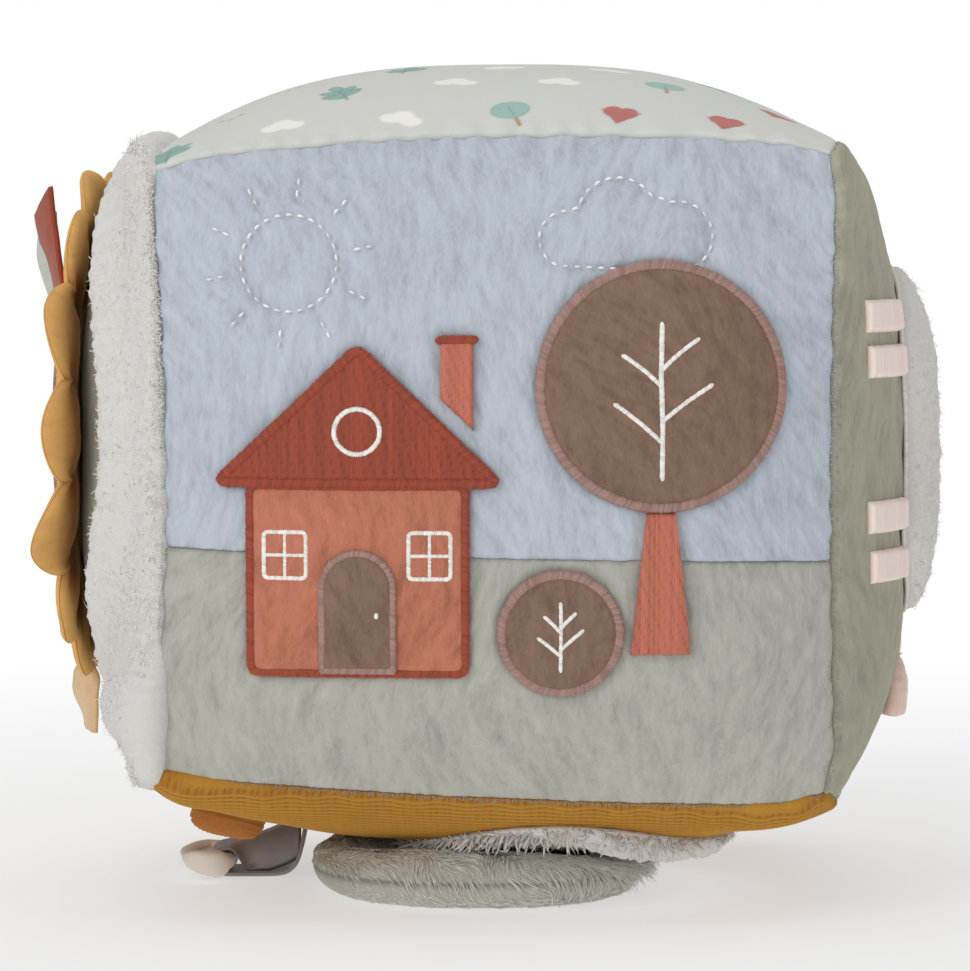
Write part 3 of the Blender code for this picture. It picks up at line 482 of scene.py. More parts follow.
def velboa(name, rgb, nap=(2300.0, 2300.0, 620.0), depth=0.00022, sheen=0.35, contrast=1.0, rot=(0, 0, 0), deep=None):
    """Short brushed pile: strokes along the nap, cloudy patches where it was stroked, a soft sheen."""
    t = Tree(name)
    drift = t.noise(90.0, 2.0, 0.5, out="Color")
    bent = t.node("ShaderNodeVectorMath", {0: t.coord, 1: t.node("ShaderNodeVectorMath", {0: drift, 1: (0.004, 0.004, 0.004)}, operation="MULTIPLY")}, operation="ADD")
    fine = t.noise(1.0, 3.0, 0.6, t.scaled(nap, bent, rot))
    wide = t.noise(1.0, 2.0, 0.5, t.scaled(tuple(x * 0.33 for x in nap), bent, rot))
    cloud = t.noise(70.0, 3.0, 0.55)
    streak = t.attr("nap")
    v = t.math("MULTIPLY_ADD", t.math("SUBTRACT", fine, 0.5), 0.42 * contrast, t.math("MULTIPLY", t.math("SUBTRACT", wide, 0.5), 0.30 * contrast))
    v = t.math("MULTIPLY_ADD", t.math("SUBTRACT", cloud, 0.5), 0.24 * contrast, v)
    v = t.math("MULTIPLY_ADD", streak, 0.22 * contrast, v)
    tone = t.math("ADD", v, 0.5)
    base = t.ramp(tone, [(0.24, shade(rgb, 0.74)), (0.5, rgb), (0.78, shade(rgb, 1.18))])
    # painted shade: when deep is given, the colour is mixed towards that darker colour where the root attribute is high
    if deep is not None:
        base = t.mix(t.attr("root"), base, deep)
    height = t.math("MULTIPLY_ADD", fine, 0.6, t.math("MULTIPLY", wide, 0.6))
    n = t.bump(height, 0.75, depth)
    return t.set(base=base, rough=0.92, sheen=sheen, sheen_rough=0.42, sheen_tint=shade(rgb, 1.6), spec=0.18, normal=n)


def curly(name, rgb, depth=0.0005, sheen=0.25):
    """Curly pile, with painted shade in the hollows between the curls."""
    t = Tree(name)
    warp = t.noise(420.0, 2.0, 0.6, out="Color")
    bent = t.node("ShaderNodeVectorMath", {0: t.coord, 1: t.node("ShaderNodeVectorMath", {0: warp, 1: (0.0022, 0.0022, 0.0022)}, operation="MULTIPLY")}, operation="ADD")
    curls = t.voronoi(980.0, bent)
    fine = t.noise(2300.0, 3.0, 0.65, bent)
    hollow = t.attr("hollow")
    # painted shade: the colour darkens away from each curl's middle and in the hollows marked by the attribute
    v = t.math("MULTIPLY_ADD", curls, -0.10, t.math("MULTIPLY", fine, 0.16))
    v = t.math("ADD", v, t.math("MULTIPLY_ADD", hollow, -0.12, 0.48))
    base = t.ramp(v, [(0.10, shade(rgb, 0.86)), (0.42, shade(rgb, 0.97)), (0.75, shade(rgb, 1.03))])
    h = t.math("MULTIPLY_ADD", curls, -0.55, t.math("MULTIPLY", fine, 0.75))
    n = t.bump(h, 0.55, depth)
    return t.set(base=base, rough=1.0, sheen=sheen, sheen_rough=0.5, spec=0.1, normal=n, sss=0.12, sss_radius=(0.9, 0.85, 0.8), sss_scale=0.002)


def thread(name, rgb, rough=0.5, sheen=0.25, spec=0.4, contrast=1.0):
    """Embroidery thread: each stitch has its own tone, with fine plies across it; the per-point tone also carries
    painted shade between the satin stitches and painted light on their crests.
    """
    t = Tree(name)
    ply = t.noise(5200.0, 2.0, 0.6)
    tone = t.math("MULTIPLY_ADD", t.attr("tint"), 0.36, t.math("MULTIPLY_ADD", t.math("SUBTRACT", ply, 0.5), 0.5, 0.5))
    base = t.ramp(tone, [(0.15, shade(rgb, 1 - 0.34 * contrast)), (0.5, rgb), (0.88, shade(rgb, 1 + 0.25 * contrast))])
    n = t.bump(ply, 0.35, 0.00012)
    return t.set(base=base, rough=rough, sheen=sheen, sheen_rough=0.35, spec=spec, normal=n)


def ribbon(name, rgb, rough=0.5, warp=(2400.0, 2400.0, 2400.0), sheen=0.2, spec=0.35, coat=0.0):
    """Woven ribbon: two fine sets of yarns, a little slub and a soft gloss."""
    t = Tree(name)
    v = t.scaled(warp)
    x = t.node("ShaderNodeTexWave", {"Vector": v, "Scale": 0.5, "Distortion": 0.6, "Detail": 1.0}, out="Fac", wave_type="BANDS", bands_direction="Z")
    y = t.node("ShaderNodeTexWave", {"Vector": v, "Scale": 0.62, "Distortion": 0.6, "Detail": 1.0}, out="Fac", wave_type="BANDS", bands_direction="DIAGONAL")
    slub = t.noise(260.0, 3.0, 0.55)
    h = t.math("MULTIPLY_ADD", x, 0.6, t.math("MULTIPLY", y, 0.4))
    tone = t.math("MULTIPLY_ADD", h, 0.22, t.math("MULTIPLY", slub, 0.55))
    base = t.ramp(tone, [(0.12, shade(rgb, 0.78)), (0.40, rgb), (0.70, shade(rgb, 1.16))])
    n = t.bump(h, 0.25, 0.00008)
    return t.set(base=base, rough=rough, sheen=sheen, sheen_rough=0.4, spec=spec, normal=n, coat=coat)


def fur(name, root, tip, rough=0.75):
    """Long pile: darker at the roots, lighter at the tips, each tuft with its own tone."""
    t = Tree(name)
    along, own = t.attr("along"), t.attr("tint")
    v = t.math("MULTIPLY_ADD", own, 0.22, t.math("MULTIPLY", along, 0.8))
    fine = t.noise(2600.0, 2.0, 0.6)
    v = t.math("MULTIPLY_ADD", t.math("SUBTRACT", fine, 0.5), 0.25, v)
    base = t.ramp(v, [(0.0, root), (0.55, shade(tip, 0.93)), (1.0, shade(tip, 1.08))])
    return t.set(base=base, rough=rough, sheen=0.25, sheen_rough=0.4, spec=0.2)


M = {}
M["sky"] = velboa("sky_velboa", lin("#b9c1cb", 1.0))
M["meadow"] = velboa("meadow_velboa", lin("#b4b4ab", 0.955))
M["sage"] = velboa("sage_velboa", lin("#aaa896", 0.97), sheen=0.22)
M["sherpa"] = curly("white_sherpa", lin("#dedcd8", 0.99))
M["terracotta"] = velboa("terracotta_plush", lin("#b8745e", 1.06), nap=(2600.0, 2600.0, 900.0), depth=0.0003, contrast=1.25)
M["brown"] = velboa("brown_plush", lin("#7d6658", 1.12), nap=(2300.0, 2300.0, 900.0), depth=0.0003, contrast=1.3)
M["rust_thread"] = thread("rust_satin", lin("#973f27", 1.0))
M["clay_thread"] = thread("clay_satin", lin("#bd6b55", 1.02))
M["mauve_thread"] = thread("mauve_satin", lin("#9c7b72", 1.05))
M["white_thread"] = thread("white_thread", lin("#e8e5de", 1.10), rough=0.55)
M["mustard"] = velboa("mustard_velvet", lin("#d6a462", 1.08), nap=(3000.0, 3000.0, 3000.0), depth=0.0001, sheen=0.45, contrast=0.45)
# back layer: painted shade, a deep rust-brown towards the petals' roots
M["mustard_back"] = velboa("mustard_velvet_back", lin("#d6a462", 1.08), nap=(3000.0, 3000.0, 3000.0), depth=0.0001, sheen=0.45, contrast=0.45, deep=lin("#7a2f16", 0.8))
M["tab_velvet"] = velboa("mustard_tab_velvet", lin("#b4763a", 0.92), nap=(3000.0, 3000.0, 3000.0), depth=0.0001, sheen=0.35, contrast=0.4)
M["peach"] = ribbon("peach_ribbon", lin("#deb88a", 1.05), rough=0.6)
M["rust_ribbon"] = ribbon("rust_ribbon", lin("#9a3f22", 1.0), rough=0.5)
M["sage_ribbon"] = ribbon("sage_ribbon", lin("#b9c0b8", 1.05), rough=0.5)
M["grey_ribbon"] = ribbon("grey_satin_ribbon", lin("#8a8382", 0.95), rough=0.33, spec=0.5, sheen=0.1)
M["pink"] = velboa("pink_velvet", lin("#e6c8bd", 1.1), nap=(3000.0, 3000.0, 2000.0), depth=0.0001, contrast=0.5)
M["leg_thread"] = thread("leg_thread", lin("#f1dfd6", 1.08), rough=0.7, contrast=0.4)
M["edge_thread"] = thread("edge_thread", lin("#dcd7ce", 1.05), rough=0.6, contrast=0.5)


def print_cotton():
    """Plain-woven cotton with a soft print, held as a colour at each point of the cloth."""
    t = Tree("printed_cotton")
    v = t.scaled((1900.0, 1900.0, 1900.0))
    wx = t.node("ShaderNodeTexWave", {"Vector": v, "Scale": 0.55, "Distortion": 0.8, "Detail": 1.0}, out="Fac", wave_type="BANDS", bands_direction="X")
    wy = t.node("ShaderNodeTexWave", {"Vector": v, "Scale": 0.55, "Distortion": 0.8, "Detail": 1.0}, out="Fac", wave_type="BANDS", bands_direction="Y")
    weave = t.math("MULTIPLY", wx, wy)
    slub = t.noise(160.0, 4.0, 0.6)
    ink = t.attr("print", out="Color")
    tone = t.math("MULTIPLY_ADD", weave, 0.05, t.math("MULTIPLY_ADD", slub, 0.06, 0.93))
    base = t.node("ShaderNodeVectorMath", {0: ink, "Scale": tone}, operation="SCALE")
    n = t.bump(t.math("MULTIPLY_ADD", weave, 1.0, t.math("MULTIPLY", slub, 0.8)), 0.3, 0.00009)
    return t.set(base=base, rough=0.86, sheen=0.15, sheen_rough=0.5, spec=0.2, normal=n)


M["print"] = print_cotton()


def waffle():
    """Mustard knit: fine rows that run from side to side, lighter on their crests, with small dimples in a darker
    orange.
    """
    t = Tree("mustard_waffle")
    rgb = lin("#c79138", 0.83)
    rows, dots = t.attr("rows"), t.attr("dots")
    fine = t.noise(1500.0, 3.0, 0.6)
    cloud = t.noise(60.0, 3.0, 0.5)
    tone = t.math("MULTIPLY_ADD", rows, 0.16, t.math("MULTIPLY_ADD", fine, 0.26, t.math("MULTIPLY", cloud, 0.30)))
    base = t.ramp(tone, [(0.18, shade(rgb, 0.80)), (0.42, rgb), (0.66, shade(rgb, 1.12))])
    base = t.mix(t.math("MULTIPLY", dots, 0.85), base, lin("#a85a1a", 0.85))
    n = t.bump(t.math("MULTIPLY_ADD", fine, 0.5, t.math("MULTIPLY", dots, -0.8)), 0.4, 0.00018)
    return t.set(base=base, rough=0.85, sheen=0.3, sheen_rough=0.45, sheen_tint=lin("#e8c070"), spec=0.2, normal=n)


M["waffle"] = waffle()


def corduroy():
    """Clay corduroy: the wales are in the mesh; the pile's grain is here, and the colour is lighter on the wales'
    crests and darker between them.
    """
    t = Tree("clay_corduroy")
    rgb = lin("#b9765f", 1.05)
    wale = t.attr("rows")
    fine = t.noise(1.0, 3.0, 0.6, t.scaled((2600.0, 2600.0, 900.0)))
    cloud = t.noise(55.0, 3.0, 0.5)
    tone = t.math("MULTIPLY_ADD", wale, 0.34, t.math("MULTIPLY_ADD", fine, 0.34, t.math("MULTIPLY", cloud, 0.2)))
    base = t.ramp(tone, [(0.2, shade(rgb, 0.6)), (0.5, rgb), (0.8, shade(rgb, 1.2))])
    n = t.bump(fine, 0.5, 0.0002)
    return t.set(base=base, rough=0.92, sheen=0.35, sheen_rough=0.4, sheen_tint=shade(rgb, 1.5), spec=0.15, normal=n)


M["cord"] = corduroy()


def teether_stuff():
    t = Tree("teether_silicone")
    rgb = lin("#d8cfc6", 1.05)
    soft = t.noise(120.0, 3.0, 0.5)
    base = t.ramp(soft, [(0.3, shade(rgb, 0.96)), (0.7, shade(rgb, 1.03))])
    rough = t.remap(t.noise(300.0, 2.0), 0.3, 0.7, 0.42, 0.55)
    n = t.bump(t.noise(900.0, 2.0), 0.15, 0.00005)
    return t.set(base=base, rough=rough, spec=0.4, normal=n, sss=0.25, sss_radius=(1.0, 0.7, 0.5), sss_scale=0.002)


M["teether"] = teether_stuff()


def mirror_stuff():
    t = Tree("safety_mirror")
    wave = t.noise(22.0, 2.0, 0.5)
    scuff = t.noise(700.0, 4.0, 0.7)
    rough = t.remap(scuff, 0.45, 0.8, 0.045, 0.14)
    n = t.bump(wave, 0.25, 0.0012)
    base = t.ramp(wave, [(0.3, (0.86, 0.88, 0.89)), (0.7, (0.92, 0.93, 0.93))])
    return t.set(base=base, metal=1.0, rough=rough, normal=n)


M["mirror"] = mirror_stuff()


def inner(name, rgb, kind):
    """Materials of the sealed inner parts: carded wadding, crinkle film, moulded plastic."""
    t = Tree(name)
    if kind == "wadding":
        a = t.noise(900.0, 5.0, 0.7, t.scaled((1.0, 2.2, 0.7)))
        base = t.ramp(a, [(0.3, shade(rgb, 0.88)), (0.65, rgb)])
        return t.set(base=base, rough=1.0, sheen=0.3, spec=0.1, normal=t.bump(a, 0.7, 0.0006))
    if kind == "film":
        a = t.voronoi(160.0, out="Distance", feature="DISTANCE_TO_EDGE")
        base = t.ramp(a, [(0.0, shade(rgb, 0.9)), (0.1, rgb)])
        return t.set(base=base, rough=0.28, spec=0.6, normal=t.bump(a, 0.5, 0.0004))
    a = t.noise(500.0, 3.0, 0.6)
    base = t.ramp(a, [(0.3, shade(rgb, 0.95)), (0.7, rgb)])
    return t.set(base=base, rough=t.remap(a, 0.3, 0.7, 0.32, 0.45), spec=0.5, normal=t.bump(t.noise(2400.0), 0.1, 0.00005))


M["wadding"] = inner("wadding", (0.80, 0.80, 0.78), "wadding")
M["film"] = inner("crinkle_film", (0.74, 0.75, 0.77), "film")
M["capsule"] = inner("capsule_plastic", (0.75, 0.76, 0.74), "plastic")
M["squeaker"] = inner("squeaker_plastic", (0.82, 0.82, 0.80), "plastic")
M["bead"] = inner("bead_plastic", (0.30, 0.38, 0.42), "plastic")
M["pad_fur"] = fur("sage_fur", lin("#b9b8ad", 1.20), lin("#cfcec4", 1.22))
M["white_fur"] = fur("white_fur", lin("#dcd6ce", 0.81), lin("#ece7e0", 0.88))
M["sherpa_fuzz"] = fur("sherpa_fuzz", lin("#ebe8e4", 1.1), lin("#f0ede9", 1.12))
M["sky_fuzz"] = fur("sky_pile", lin("#b6c2cf", 1.04), lin("#bcc8d5", 1.08))
M["meadow_fuzz"] = fur("meadow_pile", lin("#a9a99e", 0.92), lin("#b4b4a9", 0.95))
M["sage_fuzz"] = fur("sage_pile", lin("#b3b09f", 1.0), lin("#bab7a6", 1.05))

# ================================================================ floor
t = Tree("studio_floor")
where = t.node("ShaderNodeVectorMath", {0: t.coord}, out="Value", operation="LENGTH")
far = t.remap(where, 0.16, 0.50, 0.52, 1.0)
grain = t.noise(40.0, 3.0)
t.set(base=t.ramp(grain, [(0.3, (0.93, 0.93, 0.925)), (0.7, (0.95, 0.95, 0.945))]), rough=0.85, spec=0.1)
glow = t.t.nodes.new("ShaderNodeEmission")
glow.inputs[0].default_value = (1, 1, 1, 1)
glow.inputs[1].default_value = 1.0
blend = t.t.nodes.new("ShaderNodeMixShader")
t.put(blend.inputs[0], far)
t.t.links.new(t.bsdf.outputs[0], blend.inputs[1])
t.t.links.new(glow.outputs[0], blend.inputs[2])
t.t.links.new(blend.outputs[0], t.t.nodes["Material Output"].inputs[0])
floor_mesh = bpy.data.meshes.new("studio_floor")
floor_mesh.from_pydata([(-8, -8, 0), (8, -8, 0), (8, 8, 0), (-8, 8, 0)], [], [(0, 1, 2, 3)])
floor_mesh.materials.append(t.mat)
floor = bpy.data.objects.new("studio_floor", floor_mesh)
scene.collection.objects.link(floor)


# ================================================================ cloth panels
def turned(length, pitch, r0, r1):
    """Grid lines over a panel whose two edges turn into the seams: their distance from the first edge
    and how deep they lie, evenly spaced along the cloth."""
    q0, q1 = r0 * math.pi / 2, r1 * math.pi / 2
    total = (length - r0 - r1) + q0 + q1
    n = int(round(total / pitch))
    s = np.linspace(0, total, n + 1)
    e = total - s
    d = np.where(s < q0, r0 * (1 - np.cos(np.minimum(s, q0) / max(r0, 1e-9))), r0 + s - q0)
    d = np.where(e < q1, length - r1 * (1 - np.cos(np.minimum(e, q1) / max(r1, 1e-9))), d)
    ins = np.where(s < q0, r0 * (1 - np.sin(np.minimum(s, q0) / max(r0, 1e-9))), 0.0)
    ins = ins + np.where(e < q1, r1 * (1 - np.sin(np.minimum(e, q1) / max(r1, 1e-9))), 0.0)
    flat = np.where(s < q0, np.sin(np.minimum(s, q0) / max(r0, 1e-9)), 1.0) * np.where(e < q1, np.sin(np.minimum(e, q1) / max(r1, 1e-9)), 1.0)
    return d, ins, flat


def panel(name, face, pitch, mat, relief, u0=-1.0, u1=1.0, v0=-1.0, v1=1.0, radii=(SEAM, SEAM, SEAM, SEAM), seam_fade=0.0, **kw):
    """A sewn panel. relief(a, b, P) gives the height over the pillow surface and the values stored on the cloth."""
    pu, pv = pitch if isinstance(pitch, tuple) else (pitch, pitch)
    lu, lv = HALF * (u1 - u0), HALF * (v1 - v0)
    du, iu, fu = turned(lu, pu, radii[0], radii[1])
    dv, iv, fv = turned(lv, pv, radii[2], radii[3])
    u, v = u0 + du / HALF, v0 + dv / HALF
    U, V = np.meshgrid(u, v, indexing="ij")
    IU, IV = np.meshgrid(iu, iv, indexing="ij")
    R = max(radii)
    ins = IU + IV - IU * IV / R
    F = fu[:, None] * fv[None, :]
    P = surface(face, U, V, ins)
    axis, sign, ua, va, _ = FACE[face]
    N = np.cross(np.gradient(P, axis=0), np.gradient(P, axis=1))
    N /= np.maximum(np.linalg.norm(N, axis=-1, keepdims=True), 1e-12)
    mid = N[N.shape[0] // 2, N.shape[1] // 2, axis] * sign
    N = N * (1 if mid > 0 else -1)
    h, attrs, colours = relief(P[..., ua], P[..., va], P)
    fade = F if seam_fade == 0 else np.clip(F / seam_fade, 0, 1)
    P = P + N * (h * fade)[..., None] + np.array([0, 0, BLOCK_Z])
    quads = grid_quads(len(u), len(v))
    if mid < 0:
        quads = quads[:, ::-1]
    attrs = {k: np.asarray(x).ravel() for k, x in attrs.items()}
    colours = {k: np.asarray(x).reshape(-1, 3) for k, x in colours.items()}
    return make(name, P.reshape(-1, 3), quads, None, mat, attrs=attrs, colours=colours, **kw)


def seam_gap(face, P):
    """Distance in millimetres from each point to the nearest of the face's four edges, roughly."""
    axis, sign, ua, va, _ = FACE[face]
    return np.minimum(65.5 - np.abs(P[..., ua]), 61.5 - np.abs(P[..., va]))


# ---------------------------------------------------------------- outlines on the front
WALL = rounded([(-45, -38), (-5, -38), (-5, -3), (-45, -3)], 1.6)
ROOF = rounded([(-51, -2.4), (1, -2.4), (-25, 22.5)], 1.8)
CHIMNEY = rounded([(-9.5, 13.5), (-3.5, 7.8), (-3.5, 24), (-9.5, 24)], 0.8)
DOOR = [(-31.5, -37.2), (-18.5, -37.2)] + [(-25 + 6.5 * math.cos(x), -22 + 6.5 * math.sin(x)) for x in np.linspace(0, math.pi, 24)]
CROWN = circle_path(31.5, 15.5, 22.5)
TRUNK = rounded([(26.0, -34.5), (37.0, -34.5), (34.2, -8.2), (28.8, -8.2)], 0.8)
BUSH = circle_path(12.8, -30.5, 11.0)
FRONT_PATCHES = [WALL, ROOF, CHIMNEY, CROWN, TRUNK, BUSH]


def arc(cx, cy, r, a0, a1, n=24):
    a = np.radians(np.linspace(a0, a1, n))
    return [(cx + r * math.cos(x), cy + r * math.sin(x)) for x in a]


CLOUD = arc(14.0, 43.0, 5.2, 255, 95) + arc(23.5, 46.8, 7.6, 165, 35) + arc(34.8, 43.6, 6.4, 100, -70) + [(24.0, 37.4)]
SUN = circle_path(-38.0, 38.5, 9.0, 90)
RAYS = [[(-38 + q * math.cos(a), 38.5 + q * math.sin(a)) for q in (12.0, 16.4)] for a in np.linspace(0, 2 * math.pi, 11)[:-1] + 0.2]
HILL = [(x, -47.5 + 3.0 * math.sin((x + 10) / 17.0)) for x in np.linspace(20.0, 58.0, 60)]
FRONT_STITCHES = [(CLOUD, True), (SUN, True)] + [(r, False) for r in RAYS]


def pile(a, b, seed, nap=-1.57, length=1.5, width=0.62, soft=0.15, cloudy=0.30):
    """Height and tone of a short brushed pile at millimetre coordinates."""
    th = nap + 0.75 * noise(a / 27.0, b / 27.0, seed) + 0.40 * noise(a / 10.0, b / 10.0, seed + 3)
    fine = streaks(a, b, th, length, width, seed + 5)
    wide = streaks(a, b, th, length * 2.2, width * 2.6, seed + 9, 7)
    h = soft * fine + soft * 0.9 * wide + cloudy * fbm(a / 19.0, b / 19.0, seed + 11, 3)
    return h, np.clip(0.55 * wide + 0.45 * fine, -1.5, 1.5)


def puckers(gap, along, seed, depth=0.45, reach=5.0, pitch=7.5):
    """Small gathers that run in from a seam."""
    wave = np.sin(2 * np.pi * (along / pitch + 0.8 * noise(along / 23.0, along * 0 + seed, seed)))
    return depth * wave * np.exp(-(gap / reach) ** 2)


def front_relief(seed):
    def relief(a, b, P):
        h, tone = pile(a, b, seed)
        gap = seam_gap("front", P)
        h = h + puckers(62.5 - b, a, seed + 40, 0.38, 5.0, 8.5) + puckers(62.0 - np.abs(a), b, seed + 41, 0.28, 4.5, 9.0)
        for out in FRONT_PATCHES:
            d, inside = path_distance(a, b, out)
            h = h - 0.55 * np.exp(-(d / 1.5) ** 2) - np.where(inside, 0.45 * smooth(d, 0.0, 1.5), 0.0)
            h = h + np.where(inside, 0.0, 0.22 * np.exp(-((d - 4.5) / 2.4) ** 2))
        for line, closed in FRONT_STITCHES:
            d, inside = path_distance(a, b, line, closed)
            h = h - 0.5 * np.exp(-(d / 0.8) ** 2)
            if closed:
                h = h + np.where(inside, 0.35 * smooth(d, 0.5, 4.0), 0.0)
        return h, {"nap": tone}, {}
    return relief


panel("front_sky_cloth", "front", 0.42, M["sky"], front_relief(11), v0=HORIZON_V, radii=(SEAM, SEAM, 0.9, SEAM),
      replaces="front_sky_panel", slot="sky_velboa")
panel("front_meadow_cloth", "front", 0.42, M["meadow"], front_relief(23), v1=HORIZON_V, radii=(SEAM, SEAM, SEAM, 1.1),
      replaces="front_meadow_panel", slot="meadow_velboa")


def side_relief(seed, face):
    def relief(a, b, P):
        h, tone = pile(a, b, seed)
        h = h + puckers(64.0 - np.abs(a), b, seed + 4, 0.32, 5.0, 9.0) + puckers(61.0 - np.abs(b), a, seed + 6, 0.32, 5.0, 9.0)
        h = h + 1.5 * np.exp(-((b - 54.0) / 8.0) ** 2)
        h = h - 0.4 * np.exp(-((np.hypot((a + 11.0) / 32.0, (b - 3.0) / 35.5) - 1.0) * 34.0 / 2.4) ** 2)
        return h, {"nap": tone}, {}
    return relief


panel("right_sage_cloth", "right", 0.46, M["sage"], side_relief(37, "right"), replaces="right_panel", slot="sage_velboa")


def sherpa_height(a, b, seed):
    w1, w2 = 1.1 * noise(a / 2.6, b / 2.6, seed + 1), 1.1 * noise(a / 2.6, b / 2.6, seed + 2)
    d1, d2, who = cells((a + w1) / 3.4, (b + w2) / 3.4, seed)
    e1, e2, _ = cells((a + w2) / 1.7, (b - w1) / 1.7, seed + 8)
    lump = np.exp(-(d1 / 0.62) ** 2)
    small = np.exp(-(e1 / 0.55) ** 2)
    h = 0.75 * lump + 0.50 * small + 0.30 * fbm(a / 1.3, b / 1.3, seed + 5, 2) + 0.4 * (who - 0.5)
    # mask of the hollows between the lumps, used for painted shade in the curly pile's colour
    hollow = np.clip(1.1 * (1 - lump) * (1 - small), 0, 1)
    return h + 0.8 * fbm(a / 14.0, b / 14.0, seed + 12, 2), hollow


def sherpa_swell(a, b):
    """The curly pile stands highest along the seams and around the ring it surrounds."""
    edge = np.minimum(66.0 - np.abs(a), 61.5 - np.abs(b))
    r = np.hypot(a, b - 6.0)
    low = smooth(-b, 30.0, 58.0)
    front = smooth(-a, 5.0, 40.0)
    tight = smooth(b, -5.0, 35.0) * smooth(-a, 48.0, 61.0)      # the front seam is pulled tight in its upper part
    h = 1.7 * np.exp(-((edge - 2.0) / 5.0) ** 2) * (1 + 0.9 * low) * (1 - 1.2 * tight)
    front_ring = front * (1 - 0.85 * smooth(-b, 22.0, 36.0))
    h = h + (2.0 + 2.6 * front_ring) * np.exp(-((r - (54.5 - 1.5 * front)) / 4.0) ** 2)
    h = h + 2.8 * np.exp(-((b - 57.0) / 7.0) ** 2 - ((a + 45.0) / 25.0) ** 2)
    return h + 6.5 * np.exp(-((b + 46.5) / 8.8) ** 2 - ((a + 54.0) / 12.0) ** 2)


def sherpa_relief(seed):
    def relief(a, b, P):
        h, hollow = sherpa_height(a, b, seed)
        calm = 0.75 - 0.4 * np.exp(-((66.0 - np.abs(a)) / 2.5) ** 2)
        h = calm * h + sherpa_swell(a, b) - 0.2
        # under the mirror ring and the flower the pile is pressed down
        press = 1 - smooth(np.hypot(a, b - 6.0), 45.5, 49.5)
        h = h * (1 - press) - 0.25 * press
        # painted shade in the hollows, at 0.6 strength
        return h, {"hollow": 0.6 * hollow}, {}
    return relief


panel("left_sherpa_cloth", "left", 0.50, M["sherpa"], sherpa_relief(51), radii=(2.6, 2.6, 2.6, 2.6), seam_fade=0.85,
      replaces="left_panel", slot="white_sherpa")


def waffle_relief(seed):
    def relief(a, b, P):
        row = np.cos(2 * np.pi * (b + 0.4 * noise(a / 30.0, b / 30.0, seed)) / 1.75)
        dots = smooth(np.cos(2 * np.pi * (a + 0.2 * noise(a / 20.0, b / 20.0, seed + 1)) / 1.3), 0.2, 0.8) * smooth(-row, -0.2, 0.6)
        h = 0.20 * row - 0.16 * dots + 0.25 * fbm(a / 18.0, b / 18.0, seed, 3)
        h = h + puckers(64.0 - np.abs(b), a, seed + 4, 0.3, 4.5, 10.0) + puckers(64.0 - np.abs(a), b, seed + 6, 0.3, 4.5, 10.0)
        h = h + 2.2 * np.exp(-((a + 60.0) / 7.0) ** 2 - ((b + 58.0) / 9.0) ** 2) + 2.3 * np.exp(-((a - 54.0) / 13.0) ** 2 - ((b + 58.0) / 10.0) ** 2)
        h = h + 2.2 * np.exp(-((a + 51.0) / 13.0) ** 2 - ((b + 54.0) / 15.0) ** 2)
        return h, {"rows": row, "dots": dots}, {}
    return relief


panel("bottom_waffle_cloth", "bottom", (0.524, 0.343), M["waffle"], waffle_relief(61), replaces="bottom_panel", slot="mustard_waffle")


def cord_relief(seed):
    def relief(a, b, P):
        x = a + 0.5 * noise(a / 40.0, b / 40.0, seed)
        wale = np.abs(np.cos(np.pi * x / 2.3)) ** 0.6
        h = 0.55 * wale + 0.06 * fbm(a / 0.8, b / 1.6, seed, 2) + 0.35 * fbm(a / 22.0, b / 22.0, seed + 2, 3) - 0.25
        h = h + puckers(62.0 - np.abs(b), a, seed + 4, 0.3, 4.5, 10.0)
        return h, {"rows": wale}, {}
    return relief


panel("back_corduroy_cloth", "back", (0.38, 0.9), M["cord"], cord_relief(71), replaces="back_panel", slot="clay_corduroy")


# ---------------------------------------------------------------- printed top
def ellipse(x, y, cx, cy, rx, ry, turn=0.0):
    c, s = math.cos(turn), math.sin(turn)
    dx, dy = x - cx, y - cy
    p, q = (dx * c + dy * s) / rx, (-dx * s + dy * c) / ry
    return (np.sqrt(p * p + q * q) - 1) * min(rx, ry)


def segment(x, y, x0, y0, x1, y1, w):
    dx, dy = x1 - x0, y1 - y0
    t = np.clip(((x - x0) * dx + (y - y0) * dy) / (dx * dx + dy * dy), 0, 1)
    return np.hypot(x - x0 - t * dx, y - y0 - t * dy) - w


